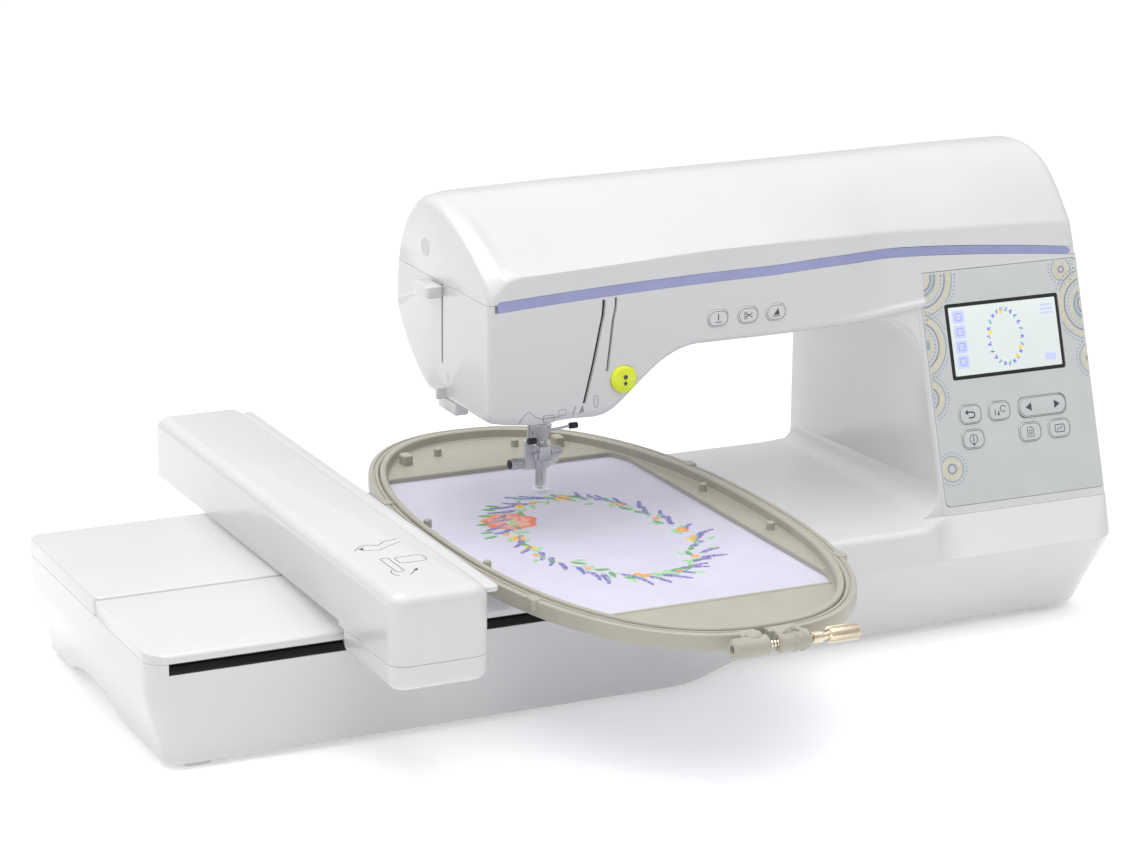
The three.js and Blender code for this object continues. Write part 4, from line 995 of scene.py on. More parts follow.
def make_carriage():
    ends = (CARRIAGE["front"], CARRIAGE["back"])
    cover = carriage_slab("cover", ends, (77.6, CARRIAGE["top"]), 8, 0.4)
    step = slab("step", (100, 190), (-3.4, 400), (60, 80.7), 0.5, 0, 0)
    inside = (ends[0] + WALL, ends[1] - WALL)
    hollow = carriage_slab("hollow", inside, (60, CARRIAGE["top"] - WALL), 6, 0, WALL)
    slot = slab("slot", (166, 180), (-60, 312), (85, 112), 1, 0.2, 0.2)
    carve(cover, [step, hollow, slot])
    lip = slab("lip", (171.6, 180.4), (-80, 317), (112.6, 116.2), 3, 1.4, 0.8)
    show(merge("carriage_shell", [cover, lip]), WHITE, "carriage", replaces=["carriage_cover"])
    tray = carriage_slab("carriage_tray", (ends[0], -3.4), (CARRIAGE["skirt"], 77.2), 0.3, 7)
    carve(tray, [slab("hollow", (117, 170.6), (-76, -6.4), (65, 90), 6, 0, 3)])
    rail_floor = slab("floor", (117.5, 170), (-6.4, 315), (80.7, 82.7), 4, 0.3, 0.3)
    tongue = slab("tongue", (121.5, 166), (-4.4, 30), (62, 65.6), 1, 0.3, 0.3)
    runner = slab("runner", (123.5, 161), (14, 30), (44, 65.6), 1.5, 0.3, 0.6)
    carve(runner, [rod("hole", "x", (22, 54), 100, 190, 5.4)])
    posts = [slab("post", (135, 149), y, (low, 106), 1.5, 1, 0.3)
             for y, low in (((-75, -69), 63), ((309, 313), 80.7))]
    for post in posts:
        carve(post, [rod("hole", "y", (142, 98), -90, 330, 4.4)])
    base = merge("carriage_base_shell", [tray, rail_floor, tongue, runner] + posts)
    show(base, WHITE, "carriage", replaces=["carriage_base"])


make_carriage()


# ---- Hoop ----
def bowed_outline(inset, count=HOOP_STEPS):
    """The hoop's bowed outline, drawn in by `inset`, evenly spaced."""
    power = 2 / HOOP["bow"]
    points = []
    for i in range(1441):
        angle = 2 * pi * i / 1440
        across = copysign(abs(cos(angle)) ** power, cos(angle))
        along = copysign(abs(sin(angle)) ** power, sin(angle))
        points.append((HOOP["x"] + (HOOP["half_width"] - inset) * across,
                       HOOP["y"] + (HOOP["half_length"] - inset) * along))
    return resample(points, count + 1)[:-1]


def window_point(angle, grow, wall):
    """The window's rim in the direction of an angle from the hoop's centre, grown outwards. On the left it
    reaches the wall of the ring, whose point in that direction is `wall`."""
    half_w, half_l = WINDOW["width"] / 2 + grow, WINDOW["length"] / 2 + grow
    corner = WINDOW["corner"] + grow
    if cos(angle) < 0:
        half_w, corner = HOOP["half_width"], 3 + grow
    du, dv = abs(cos(angle)), abs(sin(angle))
    reach = min(half_w / max(du, 1e-9), half_l / max(dv, 1e-9))
    u, v = du * reach, dv * reach
    if u > half_w - corner and v > half_l - corner:
        cu, cv = half_w - corner, half_l - corner
        along = du * cu + dv * cv
        reach = along + sqrt(max(0, along * along - (cu * cu + cv * cv - corner * corner)))
        u, v = du * reach, dv * reach
    limit = dist(wall, (HOOP["x"], HOOP["y"])) - 0.5 + 0.1 * grow
    shrink = min(1, limit / hypot(u, v))
    return (HOOP["x"] + copysign(u, cos(angle)) * shrink,
            HOOP["y"] + copysign(v, sin(angle)) * shrink)


def ring(name, section):
    """Sweeps a closed section of (inset from the outline, z) round the hoop."""
    outlines = {inset: bowed_outline(inset) for inset, _ in section}
    return swept(name, [[(*outlines[inset][i], z) for inset, z in section] for i in range(HOOP_STEPS)])


def make_outer_ring():
    low, top = HOOP["bottom"], 93
    section = [(0.9, low), (0.3, low + 0.7), (0, low + 2), (0, top - 1.6), (0.4, top - 0.5), (1.4, top),
               (3.3, top), (3.7, top - 0.9), (4.3, top - 0.9), (4.7, top), (6.2, top), (6.8, top - 0.6),
               (7, top - 1.5), (7, low + 1), (6.4, low)]
    made = ring("outer", section)
    parts = [carve(made, [pocket((310.5, -156), 6, 40, 0.5, level, 70, 110)])]  # the clamp's gap
    clamp_y, clamp_z = CLAMP
    for start, end, block in ((285, 307.5, 296), (313.5, 333, 316)):
        barrel = rod("barrel", "x", CLAMP, start, end, 6, 1.2)
        web = slab("web", (block, end), (clamp_y, clamp_y + 16), (clamp_z - 6, clamp_z + 4.4), 1.2, 1.2, 0.8)
        for part, bore in ((barrel, 2.6), (web, 5.2)):
            parts.append(carve(part, [rod("hole", "x", CLAMP, 270, 360, bore)]))
    parts += [rod("band", "x", CLAMP, x, x + 2.2, 6.7, 0.6) for x in (322.4, 327.4)]
    clip = [(x, clamp_y - 1, clamp_z + 5 + 3.4 * sin(pi * (x - 315) / 12)) for x in steps(315, 327, 13)]
    parts.append(tube("clip", clip, 0.9))
    parts.append(rod("boss", "z", (300, clamp_y + 3), clamp_z, clamp_z + 7.4, 5, 1.2))
    for x, y in ((425, 160), (419, -47), (211.5, 160), (217, -47), (373, 252), (263, 252)):
        parts.append(slab("tab", (x - 3.5, x + 3.5), (y - 5, y + 5), (87, 94), 2.2, 1.2, 0.4))
    parts.append(slab("connector", (199, 209), (14, 74), (low, 93), 2, 1, 0.6))
    show(merge("outer_ring_shell", parts), TAUPE, "hoop", ["hoop_outer_ring"])


def make_inner_ring():
    """The inner ring's wall and its flat flange, which leaves the straight-sided window."""
    low, flange, top = HOOP["bottom"] + 1.8, HOOP["bottom"] + 4.2, 94
    wall = [(7.5, low), (7.5, top - 0.8), (8, top), (11, top), (11.8, top - 0.8), (12.2, flange + 1.2),
            (13.2, flange)]
    outlines = {inset: bowed_outline(inset) for inset, _ in wall}
    rows = []
    for i in range(HOOP_STEPS):
        x, y = outlines[13.2][i]
        angle = atan2(y - HOOP["y"], x - HOOP["x"])
        row = [(*outlines[inset][i], z) for inset, z in wall]
        lip = [(3.2, flange), (2.6, flange + 0.7), (0.8, flange + 0.7), (0, flange + 0.1), (0, low)]
        rows.append(row + [(*window_point(angle, grow, (x, y)), z) for grow, z in lip])
    parts = [swept("inner", rows)]
    for x, y in ((290, 262), (346, 262), (414, 120), (414, 30), (222, 120), (222, 30)):
        parts.append(lathe("post", [(2.6, 0), (2.6, 4.6), (2.1, 5.2), (1.2, 5.3)], (x, y, flange - 0.2)))
    show(merge("inner_ring_shell", parts), TAUPE, "hoop", ["hoop_inner_ring"])


def make_clamp():
    """The clamp screw: thread, shank, collar, neck and knurled knob."""
    ridges = [(2.2 if i % 2 else 1.8, i) for i in range(44)]
    parts = [lathe("thread", ridges, (287, *CLAMP), "x", 20)]
    for start, end, radius, edge in ((330, 336, 1.9, 0.3), (335, 342, 3.6, 0.6), (342, 346, 2.4, 0.3)):
        parts.append(rod("turned", "x", CLAMP, start, end, radius, edge))
    knob = [(3.6, 0), (4.7, 0.9), (4.9, 1.4), (4.9, 18.6), (4.7, 19.2), (3.4, 20)]
    parts.append(lathe("knob", knob, (345.5, *CLAMP), "x", 96, 48, 0.35))
    screw = merge("clamp_screw_turned", parts)
    show(screw, NICKEL, "clamp_screw", ["hoop_clamp_screw"], sharp=25)


def make_cloth():
    """Cotton stretched in the hoop, with the faint pull that stitching gives it."""
    outer = bowed_outline(9.5, 240)
    middle_x, middle_y = CLOTH_CENTRE
    rows = []
    for share in steps(1, 0.012, 80):
        row = []
        for x, y in outer:
            u, v = mix(middle_x, x, share), mix(middle_y, y, share)
            away = hypot((u - middle_x) / 60, (v - middle_y) / 90)
            pucker = sin(11 * atan2(v - middle_y, u - middle_x) + 3 * away)
            lift = 0.14 * pucker * exp(-((away - 1.25) / 0.35) ** 2)
            row.append((u, v, CLOTH_Z + lift))
        rows.append(row)
    vertices, faces = grid(rows, closed=True)
    faces.append(tuple(range(len(vertices) - len(outer), len(vertices))))
    made = new_object("embroidered_cotton", vertices, faces)
    thicken(face_out(made, (*CLOTH_CENTRE, 40)), 0.35)
    show(made, woven_cotton(), "hoop", ["hoop_fabric"])
    return made


make_outer_ring()
make_inner_ring()
make_clamp()
cloth = make_cloth()


# ---- Embroidery: an oval wreath of sprigs, leaves and small flowers, stitch by stitch ----
WREATH = {"across": 51, "along": 83}
GOLDEN_ANGLE = 2.39996
THREAD_COLORS = {
    "lavender": (0.16, 0.12, 0.42), "lilac": (0.34, 0.29, 0.6), "blue": (0.1, 0.2, 0.5),
    "green": (0.2, 0.46, 0.2), "mint": (0.42, 0.68, 0.4), "orange": (0.86, 0.3, 0.06),
    "yellow": (0.9, 0.58, 0.05), "coral": (0.82, 0.22, 0.1), "pink": (0.83, 0.42, 0.36),
}
THREADS = {name: thread(name, color) for name, color in THREAD_COLORS.items()}
stitches = {name: ([], []) for name in THREADS}


def stitch(color, start, end, width=0.55):
    """One satin stitch: a slim spindle that rises out of the cloth and dips back into it."""
    vertices, faces = stitches[color]
    nu, nv = half_across(start, end, width)
    base = CLOTH_Z + 0.05
    first = len(vertices)
    vertices.append((*start, base))
    for share in (0.22, 0.78):
        u, v = mix(start[0], end[0], share), mix(start[1], end[1], share)
        for across, lift in ((1, 0.1), (0, 0.42), (-1, 0.1), (0, -0.05)):
            vertices.append((u + nu * across, v + nv * across, base + lift))
    vertices.append((*end, base))
    near, far = first + 1, first + 5
    for k in range(4):
        after = (k + 1) % 4
        faces.append((first, near + after, near + k))
        faces.append((near + k, near + after, far + after, far + k))
        faces.append((far + k, far + after, far + 4))


def turned(origin, angle, u, v):
    return (origin[0] + u * cos(angle) - v * sin(angle),
            origin[1] + u * sin(angle) + v * cos(angle))


def run_stitches(color, origin, angle, length, bend):
    """A stem of running stitches."""
    count = max(2, int(length / 2))
    points = [turned(origin, angle, length * s, bend * sin(pi * s)) for s in steps(0, 1, count + 1)]
    for a, b in zip(points, points[1:]):
        stitch(color, a, b, 0.5)


def leaf(color, origin, angle, length, width):
    """A satin leaf: slanted stitches from both edges to the vein."""
    for s in steps(0.04, 0.98, int(length / 0.42)):
        half = width / 2 * sin(pi * s) ** 0.8
        for side in (-1, 1):
            stitch(color, turned(origin, angle, length * s + 0.9, 0),
                   turned(origin, angle, length * s - 0.4, side * half), 0.48)


def sprig(origin, angle, length, colors):
    """A flower spike: whorls of short stitches that get smaller towards the tip."""
    run_stitches("green", origin, angle, length, 1.2)
    for s in steps(0.2, 1, int(length / 1.5)):
        reach = mix(3.2, 1.5, s)
        for _ in range(6):
            fan = RANDOM.uniform(-1.15, 1.15)
            base = turned(origin, angle, length * s + RANDOM.uniform(-0.8, 0.8), 1.2 * sin(pi * s))
            stitch(RANDOM.choice(colors), base, turned(base, angle + fan, reach, 0), 0.95)


def blossom(origin, radius, color, heart):
    """A small round flower with a knotted heart."""
    for i in range(int(14 + radius * 5)):
        angle = i * GOLDEN_ANGLE
        tip = radius * RANDOM.uniform(0.8, 1)
        stitch(color, turned(origin, angle, radius * 0.28, 0), turned(origin, angle, tip, 0), 0.8)
    for i in range(8):
        stitch(heart, turned(origin, i * 0.785, 0.1, 0), turned(origin, i * 0.785, radius * 0.34, 0), 0.7)


def rosette(origin, radius):
    """The large layered flower."""
    for layer in range(6):
        reach = radius * (1 - layer / 6.6)
        color = {0: "coral", 5: "yellow"}.get(layer, "pink")
        count = int(reach * 5.4)
        for i in range(count):
            angle = 2 * pi * i / count + 0.3 * layer
            wave = 1 + 0.07 * cos(7 * angle + layer)
            fold = cos(5 * angle + 1.7 * layer) > 0.72
            shade = "coral" if fold else color
            edge = reach * wave
            stitch(shade, turned(origin, angle, reach * 0.66 * wave, 0), turned(origin, angle, edge, 0), 0.8)


def wreath_point(turn, out=0):
    return (CLOTH_CENTRE[0] + (WREATH["across"] + out) * cos(turn),
            CLOTH_CENTRE[1] + (WREATH["along"] + out) * sin(turn))


def wreath_heading(turn):
    """The direction along the wreath, anticlockwise."""
    return atan2(WREATH["along"] * cos(turn), -WREATH["across"] * sin(turn))


def make_wreath():
    around = 84
    for i in range(around):
        turn = 2 * pi * i / around
        heading = wreath_heading(turn)
        outward = -1 if i % 4 != 1 else 1
        if i % 2 == 0:
            colors = ["blue", "lavender"] if i % 14 == 8 else ["lavender", "lavender", "lilac"]
            origin = wreath_point(turn, RANDOM.uniform(-4, 3))
            lean = outward * RANDOM.uniform(0.25, 0.95)
            sprig(origin, heading + lean, RANDOM.uniform(14, 21), colors)
        else:
            origin = wreath_point(turn, RANDOM.uniform(-6, 5))
            lean = outward * RANDOM.uniform(-0.3, 1.1)
            leaf(RANDOM.choice(["mint", "green", "mint"]), origin, heading + lean, RANDOM.uniform(8, 12), 4)
        if i % 3 == 1:
            origin = wreath_point(turn, RANDOM.choice((-7, 7)) + RANDOM.uniform(-1.5, 1.5))
            leaf("mint", origin, heading + outward * 0.9, RANDOM.uniform(6, 9), 3.2)
        if i % 7 == 3:
            blossom(wreath_point(turn, RANDOM.uniform(-5, 5)), 2.6, "orange", "yellow")
    for turn, radius, color in (
        (1.36, 5.6, "yellow"), (2.95, 5.8, "yellow"), (3.2, 4.6, "yellow"), (4.5, 3.6, "orange"),
        (-0.12, 4.8, "orange"), (-0.36, 4.6, "yellow"), (2.0, 3.6, "yellow"), (0.7, 3.4, "orange"),
    ):
        blossom(wreath_point(turn), radius, color, "orange" if color == "yellow" else "yellow")
    rosette(wreath_point(2.5, -1), 17.5)
    for turn in (2.14, 2.24, 2.78, 2.88, 2.4, 2.6):
        leaf("green", wreath_point(turn, 11), turn + 0.4, 9, 4)
    return [show(new_object("stitches_" + name, *mesh), THREADS[name], "hoop", sharp=80)
            for name, mesh in stitches.items()]


embroidery = make_wreath()


# ---- Control panel ----
LCD = {"x": -0.6, "y": 104, "width": 84.6, "height": 48}
PANEL_KEYS = {
    "back": ("panel_back_key", "back_key", -34, 57.1, 16.5, 12),
    "frame": ("panel_frame_key", "frame_key", -12.3, 57.1, 16.5, 12),
    "stitch": ("panel_stitch_key", "stitch_key", -34, 41.2, 16.5, 12),
    "list": ("panel_list_key", "list_key", 8.8, 41.2, 16.5, 12),
    "help": ("panel_help_key", "help_key", 31, 41.2, 16.5, 12),
    "page": ("panel_rocker", "page_rocker", 20.3, 57.1, 36, 13),
}
KEY_TOP = 0.8


def on_panel(lift):
    return lambda x, y, n: panel_point(x, y, n + lift)


def panel_slab(name, outline_centre, width, height, corner, low, high, edge):
    """A rounded plate lying in the panel's plane."""
    rows = []
    for height_n, pull in [(low, 0)] + [(high - depth, pull) for depth, pull in rim(edge, 5)[::-1]]:
        outline = rounded_rectangle(outline_centre, width - 2 * pull, height - 2 * pull, corner - pull, 9)
        rows.append([panel_point(u, v, height_n) for u, v in outline])
    return solid_rows(name, rows)


def make_overlay():
    made = panel_slab("panel_overlay_plate", (0, 75), 119.3, 149.3, 4, -2, 0.05, 0.4)
    outlines = [rounded_rectangle((LCD["x"], LCD["y"]), 85.4, 48.8, 1.5)]
    outlines += [rounded_rectangle((x, y), width + 0.7, height + 0.7, 5)
                 for _, _, x, y, width, height in PANEL_KEYS.values()]
    carve(made, [prism("hole", outline, panel_point, -5, 3) for outline in outlines])
    show(made, SILVER, "machine", ["panel_overlay"])


def free_runs(points, margin=1.2):
    """The runs of points that lie on the overlay and clear of the screen."""
    half = PANEL["width"] / 2 - margin
    clear_u, clear_v = LCD["width"] / 2 + 1.6, LCD["height"] / 2 + 1.6
    runs = [[]]
    for u, v in points:
        on_overlay = abs(u) < half and margin < v < PANEL["height"] - margin
        if on_overlay and (abs(u - LCD["x"]) > clear_u or abs(v - LCD["y"]) > clear_v):
            runs[-1].append((u, v))
        elif runs[-1]:
            runs.append([])
    return [run for run in runs if len(run) > 3]


MEDALLIONS = [(-60, 147, 27), (-66, 104, 23), (-63, 70, 15), (-52, 24, 10.5), (64, 119, 25), (47, 143, 9.5),
              (64, 84, 13)]  # x, y and radius
# A medallion's rings from the rim inwards: step to the ring, ink (None makes dots) and width
RINGS = [(0, None, 0), (2.3, "blue", 0.7), (2.6, "cream", 2.6), (2.7, "grey", 1), (2.4, None, 0),
         (2.6, "cream", 1.6), (2.6, "blue", 2.2), (2.6, "grey", 1.2), (2.8, "cream", 2.4)]


def make_ornament():
    """Plain rings, bands and dots in the panel's corners."""
    bands = {"cream": [], "blue": [], "grey": []}
    dots = []
    for x, y, reach in MEDALLIONS:
        radius = reach
        for step, color, width in RINGS:
            radius -= step
            if radius < 1.6:
                break
            if color:
                runs = free_runs(arc((x, y), radius, 90, 450, 181))
                bands[color] += [(run, width, False) for run in runs]
            else:
                around = arc((x, y), radius, 0, 360, int(radius * 2.6))
                dots += [arc(point, 0.55, 0, 320, 9) for point in around if free_runs([point] * 4)]
    for name, material, spots in (("cream", CREAM_INK, ()), ("blue", BLUE_INK, dots), ("grey", GREY_INK, ())):
        print_marks("ornament_" + name, material, on_panel(0.09), bands[name], spots)


def make_screen():
    x, y, width, height = LCD["x"], LCD["y"], LCD["width"], LCD["height"]
    bezel = panel_slab("screen_bezel", (x, y), width, height, 1.4, -7, -0.1, 0.3)
    show(bezel, SHADOW, "machine", ["lcd_module"])
    glass = panel_slab("screen_picture", (x, y), width - 4.4, height - 4, 0.8, -0.3, 0.02, 0.05)
    show(glass, SCREEN, "machine")
    left = x - width / 2 + 9
    tiles, lines = [], []
    for row in range(4):
        v = y + 15.6 - row * 9.6
        tiles.append(rounded_rectangle((left, v), 8.6, 8.2, 1, 4))
        lines.append((rounded_rectangle((left, v), 4.4, 4.6, 0.7, 4), 0.35, True))
    tiles += [rounded_rectangle((x + 33, y + rise), 9, 1.2, 0.4, 3) for rise in (15, 12.4, 17.6)]
    tiles.append(rounded_rectangle((x + 32, y - 16), 8, 4.6, 1, 4))
    petals, greens, golds = [], [], []
    for i in range(44):
        angle = 2 * pi * i / 44
        u, v = x + 11.4 * cos(angle), y + 16.4 * sin(angle)
        aim = angle + (0.9 if i % 2 else -0.6)
        tip = (u + 3 * cos(aim), v + 3 * sin(aim))
        (greens if i % 4 == 1 else petals).append(([(u, v), tip], 0.8, False))
    for angle in (1.7, 2.9, -0.9, -0.5):
        golds.append(arc((x + 11.4 * cos(angle), y + 16.4 * sin(angle)), 1.3, 0, 320, 9))
    on_glass, on_tiles = on_panel(0.05), on_panel(0.12)
    for name, material, surface, strokes, fills in (
        ("tiles", SCREEN_LILAC, on_glass, (), tiles), ("frames", SCREEN_VIOLET, on_tiles, lines, ()),
        ("petals", SCREEN_VIOLET, on_glass, petals, ()), ("leaves", SCREEN_GREEN, on_glass, greens, ()),
        ("flowers", SCREEN_YELLOW, on_tiles, (), golds),
    ):
        print_marks("screen_" + name, material, surface, strokes, fills)


KEY_ICONS = {  # strokes (points, width, closed) and filled outlines about the key's middle
    "back": ([([(-2.6, 1.4), (1.2, 1.4)] + arc((1.2, -0.4), 1.8, 90, -90, 8) + [(-1.6, -2.2)], 0.9, False)],
             [[(-4.2, 1.4), (-2, 3.2), (-2, -0.4)]]),
    "frame": ([([(-3.4, -2.6), (-3.4, 1)], 0.6, False), (arc((2.6, 1.2), 2, 20, 330, 12), 0.5, False)],
              [[(-1.8, -2.8), (-0.2, -2.8), (-0.6, 0.6)]]),
    "stitch": ([(arc((0, 0), 2.9, 0, 340, 16), 0.5, True), ([(0, 2), (0, -1.8)], 0.6, False)],
               [arc((0, -3.4), 0.8, 0, 320, 8)]),
    "list": ([([(-2.2, -3.1), (2.2, -3.1), (2.2, 1.6), (0.7, 3.1), (-2.2, 3.1)], 0.5, True)]
             + [([(-1.2, k), (1.2, k)], 0.45, False) for k in (-1.6, -0.3, 1)], []),
    "help": ([(rounded_rectangle((0, 0), 7, 4.8, 0.8, 4), 0.5, True),
              ([(-2.4, -1.4), (-0.8, 0.6), (0.4, -0.6), (2.2, 1.3)], 0.5, False)], []),
    "page": ([], [[(-13, 0), (-8.6, 2.7), (-8.6, -2.7)], [(13, 0), (8.6, -2.7), (8.6, 2.7)]]),
    "needle": ([([(0, 2.8), (0, -1.2)], 0.7, False), ([(-2.4, -2.4), (2.4, -2.4)], 0.5, False)], []),
    "cut": ([(arc((-2, side * 1.3), 0.9, 0, 330, 9), 0.45, True) for side in (-1, 1)]
            + [([(-1.2, -0.9), (2.8, 1.4)], 0.5, False), ([(-1.2, 0.9), (2.8, -1.4)], 0.5, False)], []),
    "lift": ([([(-2.6, -2.4), (2.6, -2.4)], 0.5, False)], [[(-2, -1.6), (2.2, -1.6), (1.2, 2.6)]]),
}


def key_icon(name, x, y):
    """A key's pictogram in its place: strokes and fills."""
    def moved(points):
        return [(x + u, y + v) for u, v in points]

    strokes, fills = KEY_ICONS[name]
    return [(moved(points), *pen) for points, *pen in strokes], [moved(points) for points in fills]


def make_panel_keys():
    for name, (body, node, x, y, width, height) in PANEL_KEYS.items():
        corner = 6.2 if name == "page" else 4.6
        cap = panel_slab(name + "_cap", (x, y), width, height, corner, -3.4, KEY_TOP, 0.55)
        show(cap, SILVER, body, [node])
        strokes, fills = key_icon(name, x, y)
        strokes.append((rounded_rectangle((x, y), width - 1.3, height - 1.3, corner - 0.7, 7), 0.32, True))
        print_marks(name + "_mark", DARK_INK, on_panel(KEY_TOP), strokes, fills, body)


make_overlay()
make_ornament()
make_screen()
make_panel_keys()


# ---- Buttons and prints on the head and arm ----
def on_front(lift):
    return lambda u, v, n: (u, ARM_FACE_Y - lift - n, v)


def make_start_button():
    x, z, radius = START_BUTTON["x"], START_BUTTON["z"], START_BUTTON["radius"]
    back = 63.4
    profile = [(radius, 0), (radius, 4.6), (radius - 0.5, 5.3), (radius - 1.6, 5.8), (radius * 0.5, 6.3),
               (0.3, 6.45)]
    cap = lathe("start_cap", profile, (x, back, z), "y", 64)
    shift = Matrix.Translation(place(0, back, 0))
    cap.data.transform(shift @ Matrix.Scale(-1, 4, (0, 1, 0)) @ shift.inverted())
    face_out(cap)
    show(cap, LIME, "start_button", ["start_stop_button"])
    diamond = [(x, z - 0.4), (x + 1.4, z - 2), (x, z - 3.6), (x - 1.4, z - 2)]
    marks = [arc((x, z + 1.9), 1.5, 0, 330, 12), diamond]
    print_marks("start_mark", DARK_INK, on_front(3.05), (), marks, "start_button")


def make_arm_keys():
    nodes = {"needle": ("needle_key", "needle_position_key"), "cut": ("cut_key", "thread_cut_key"),
             "lift": ("lift_key", "foot_lift_key")}
    for name, x in ARM_KEYS.items():
        body, node = nodes[name]
        across, tall = (x - 7, x + 7), (ARM_KEY_Z - 5.25, ARM_KEY_Z + 5.25)
        cap = upright_slab(name + "_cap", across, tall, (59.3, 65.5), 4.8, 0.6)
        show(cap, WHITE, body, [node])
        strokes, fills = key_icon(name, x, ARM_KEY_Z)
        strokes.append((rounded_rectangle((x, ARM_KEY_Z), 12.4, 8.9, 4.1, 7), 0.3, True))
        print_marks(name + "_mark", DARK_INK, on_front(0.7), strokes, fills, body)


def make_head_prints():
    """Small threading hints near the head's lower edge: plain lines, boxes and drops."""
    wave = [(256, 165), (260, 170), (263, 172), (266, 169), (270, 166.5), (284, 166.5)]
    strokes = [(resample(wave, 18), 0.5, False), (rounded_rectangle((276, 166), 7, 4.4, 0.6, 4), 0.4, True),
               (rounded_rectangle((285, 169), 5, 3.4, 0.5, 4), 0.35, True),
               ([(292, 167), (294, 172)], 0.7, False),
               (rounded_rectangle((307.5, 173.5), 2.6, 7.4, 1.2, 5), 0.45, True)]
    fills = [[(296, 167), (298.6, 172.5), (299.6, 168)]]
    print_marks("head_hints", GREY_INK, on_front(0.02), strokes, fills)
    # Black sheets behind the thread slots: painted shade for their insides.
    shade_sheets = [slab("shade_sheet", x, (63, 64), z, 1, 0.2, 0.2)
              for x, z in (((292, 316.8), (168, 238)), ((316, 326), (196, 238)))]
    show_painted_shade(merge("thread_slot_painted_shade", shade_sheets))


def on_carriage(u, v, n):
    return (u, v, CARRIAGE["top"] + n)


def make_carriage_prints():
    """Two plain hints on the carriage: a hoop that slides on, and the lock lever."""
    hand = [(126, 2), (131, 8), (137, 10), (142, 6), (148, 12), (157, 14)]
    palm = [(131, 1), (140, -2), (147, 3), (157, 8)]
    strokes = [(resample(hand, 24), 0.5, False), (resample(palm, 20), 0.4, False),
               (rounded_rectangle((150, -24), 17, 11, 3, 6), 0.45, True),
               (rounded_rectangle((136, -30), 5, 26, 1.4, 5), 0.45, True),
               (arc((137, -44), 7, 130, 230, 10), 0.45, False), ([(139, -50), (147, -41)], 0.5, False)]
    fills = [[(129, 4), (133, 6), (131, 1)], [(147, -41), (143.6, -42.4), (145.6, -45.2)]]
    print_marks("carriage_hints", DARK_INK, on_carriage, strokes, fills, "carriage")


make_start_button()
make_arm_keys()
make_head_prints()
make_carriage_prints()


# ---- Needle, foot and levers ----
def make_needle_parts():
    x, y, tip = NEEDLE["x"], NEEDLE["y"], NEEDLE["tip"]
    bar_profile = [(2.8, 0), (5.2, 0.8), (5.4, 1.6), (5.4, 10.8), (4.6, 12), (3.3, 12.4), (3.3, 106)]
    bar = lathe("bar", bar_profile, (x, y, 106), "z", 40)
    hook = [(x - 5, y - 1, 112), (x - 9, y - 4, 112.5), (x - 10, y - 5, 115), (x - 6, y - 5, 117)]
    guide = tube("guide", hook, 0.7)
    boss = slab("boss", (x - 4.4, x + 4.6), (y - 6.6, y - 2), (107.6, 117.4), 1.2, 0.8, 0.8)
    body = "needle_carrier"
    show(merge("needle_bar_turned", [bar, guide, boss]), STEEL, body, ["needle_bar"])
    head = [(2.2, 0), (3.2, 0.6), (3.2, 7.6), (2.6, 8.4)]
    show(lathe("clamp_screw_head", head, (x + 5.4, y - 0.5, 112), "x", 48, 24, 0.3), STEEL, body)
    show(rod("set_screw", "x", (y - 3, 120.8), x - 11, x - 5, 2.1, 0.4), BLACK, body)
    arm = [(x + 3, y + 2, 124.6), (x + 12, y + 3, 125.2), (x + 22, y + 4, 125.8)]
    show(tube("thread_arm", arm, 0.9), STEEL, body)
    show(rod("thread_arm_tip", "x", (y + 4, 125.8), x + 21.4, x + 27.4, 2.1, 0.5), BLACK, body)
    profile = [(0.05, 0), (0.35, 2.6), (0.45, 6), (0.45, 15), (0.8, 17.5), (0.8, 20.3)]
    show(lathe("needle_ground", profile, (x, y, tip), "z", 20), STEEL, body, ["needle"])
    cone = [(2.6, 0), (3.4, 0.6), (5.4, 6.4), (6.6, 9.6), (6.6, 11)]
    show(lathe("needle_bar_collar", cone, (x, y, 119.4), "z", 48), SATIN_WHITE, body)


def make_foot():
    x, y, tip = NEEDLE["x"], NEEDLE["y"], NEEDLE["tip"]
    ring_profile = [(2.6, 0), (5.2, 0), (5.7, 0.5), (5.7, 1.2), (5.2, 1.8), (2.9, 1.8), (2.6, 1.5)]
    rows = [[(x + r * cos(angle), y + r * sin(angle), tip + 0.6 + h) for r, h in ring_profile]
            for angle in steps(0, 2 * pi, 41)[:-1]]
    loop = swept("ring", rows)
    outline = [(x + 3, 86.2), (x + 6.2, 86.2), (x + 6.6, 90), (x + 7, 98), (x + 16, 102.4), (x + 16, 108),
               (x + 13.4, 110.6), (x + 8, 112), (x + 4, 118), (x + 2, 118), (x + 2, 86)]
    wing = soften_edges(prism("wing", outline, upright, y + 6.4, y + 8.4), 0.6, 3, 30)
    shank = slab("shank", (x - 8, x + 5), (y + 7.6, y + 11.4), (98, 118), 1.2, 0.8, 0.8)
    foot = merge("foot_moulded", [loop, wing, shank])
    show(foot, CLEAR, "presser", ["embroidery_foot"])
    plate = slab("foot_plate", (x - 1.2, x + 3.9), (y + 4.6, y + 7.2), (86, 110), 1, 0.6, 0.6)
    show(plate, STEEL, "presser")
    profile = [(2.6, 0), (3.6, 0.5), (3.8, 1.1), (3.8, 8.6), (3.2, 9.4)]
    knob = lathe("foot_screw_knob", profile, (x - 18, y + 9.3, 103), "x", 60, 30, 0.3)
    show(knob, STEEL, "presser", ["foot_screw"])
    cap = [(1.2, 0), (2.9, 0.3), (3.1, 0.6), (3.1, 1.4)]
    show(lathe("foot_screw_cap", cap, (x - 18.9, y + 9.3, 103), "x", 40), BLACK, "presser")


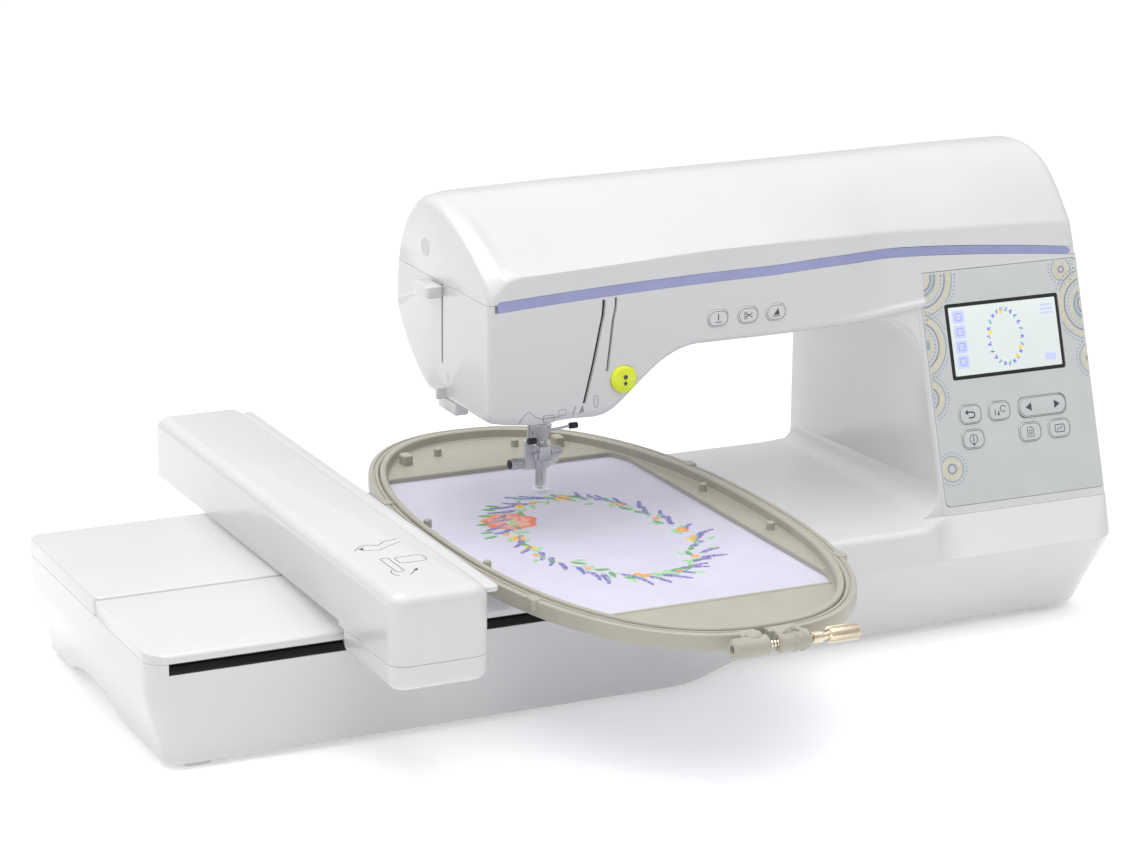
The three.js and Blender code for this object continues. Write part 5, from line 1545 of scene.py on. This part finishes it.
def make_levers():
    stem = slab("stem", (228, 248), (127.9, 130.5), (232, 237), 0.6, 0.3, 0.3)
    tab = slab("tab", (224, 235), (125, 149), (230.6, 238.2), 2.4, 1.6, 1.2)
    show(merge("threader_tab", [stem, tab]), WHITE, "threader", ["threader_lever"])


def make_handwheel():
    profile = [(24, 0), (28, 0.6), (30.4, 2), (31, 4), (31, 12.4), (30, 15), (27, 16.3), (23, 16.5),
               (21.5, 15.2), (9, 14.6), (7.8, 15.4), (4, 15.8)]
    wheel = lathe("handwheel_turned", profile, (RIGHT_X + 1.5, SHAFT_Y, SHAFT_Z), "x", 144, 72, 0.35)
    show(wheel, WHITE, "drive_shaft", ["handwheel"], sharp=28)


make_needle_parts()
make_foot()
make_levers()
make_handwheel()


# ---- Stage ----
CAMERA = {"at": (-0.90903, -1.80989, 0.72278), "yaw": 25.596, "pitch": 15.843, "roll": 0.519, "lens": 107.656}


def make_camera():
    yaw, pitch, roll = (radians(CAMERA[k]) for k in ("yaw", "pitch", "roll"))
    ahead = Vector((sin(yaw) * cos(pitch), cos(yaw) * cos(pitch), -sin(pitch)))
    right = Vector((cos(yaw), -sin(yaw), 0))
    up = right.cross(ahead)
    across = right * cos(roll) + up * sin(roll)
    upward = up * cos(roll) - right * sin(roll)
    camera = bpy.data.objects.new("camera", bpy.data.cameras.new("camera"))
    bpy.context.collection.objects.link(camera)
    camera.data.lens = CAMERA["lens"]
    camera.data.sensor_width = 36
    camera.data.sensor_fit = "HORIZONTAL"
    turn = Matrix((across, upward, -ahead)).transposed().to_4x4()
    camera.matrix_world = Matrix.Translation(CAMERA["at"]) @ turn
    bpy.context.scene.camera = camera


def lamp(name, kind, aim, energy):
    """A studio light that shines from `aim` towards the machine."""
    light = bpy.data.objects.new(name, bpy.data.lights.new(name, kind))
    bpy.context.collection.objects.link(light)
    light.data.energy = energy
    light.location = aim
    light.rotation_euler = (-Vector(aim)).to_track_quat("-Z", "Y").to_euler()
    return light.data


def make_stage():
    bpy.ops.mesh.primitive_grid_add(x_subdivisions=8, y_subdivisions=8, size=120, location=(0, 0, -0.0005))
    floor = bpy.context.object
    floor.name = "floor"
    surface = Surface("pale_floor", (0.93, 0.93, 0.93), 0.6)
    floor.data.materials.append(surface.mottle(3, 0.004).material)
    world = bpy.data.worlds.new("studio")
    bpy.context.scene.world = world
    world.use_nodes = True
    tree = world.node_tree
    sky = tree.nodes.new("ShaderNodeValToRGB")
    shades = ((0.5, (0.5, 0.51, 0.53, 1)), (0.95, (1.1, 1.1, 1.1, 1)))  # below and above the horizon
    for element, (position, shade) in zip(sky.color_ramp.elements, shades):
        element.position, element.color = position, shade
    height = tree.nodes.new("ShaderNodeSeparateXYZ")
    spread = tree.nodes.new("ShaderNodeMapRange")
    spread.inputs["From Min"].default_value = -1
    place_in_sky = tree.nodes.new("ShaderNodeTexCoord")
    tree.links.new(place_in_sky.outputs["Generated"], height.inputs["Vector"])
    tree.links.new(height.outputs["Z"], spread.inputs["Value"])
    tree.links.new(spread.outputs["Result"], sky.inputs["Fac"])
    background = tree.nodes["Background"]
    tree.links.new(sky.outputs["Color"], background.inputs["Color"])
    background.inputs["Strength"].default_value = 0.9
    lamp("overhead", "SUN", (0, -0.25, 1.5), 1).angle = radians(60)
    lamp("window", "AREA", (-1.9, -1.2, 1.5), 1).size = 0.9
    fill = lamp("fill", "AREA", (-0.6, 0.5, 1.8), 16)
    fill.size = 1.4
    fill.use_shadow = False
    bpy.context.scene.view_settings.view_transform = "Standard"


make_camera()
make_stage()
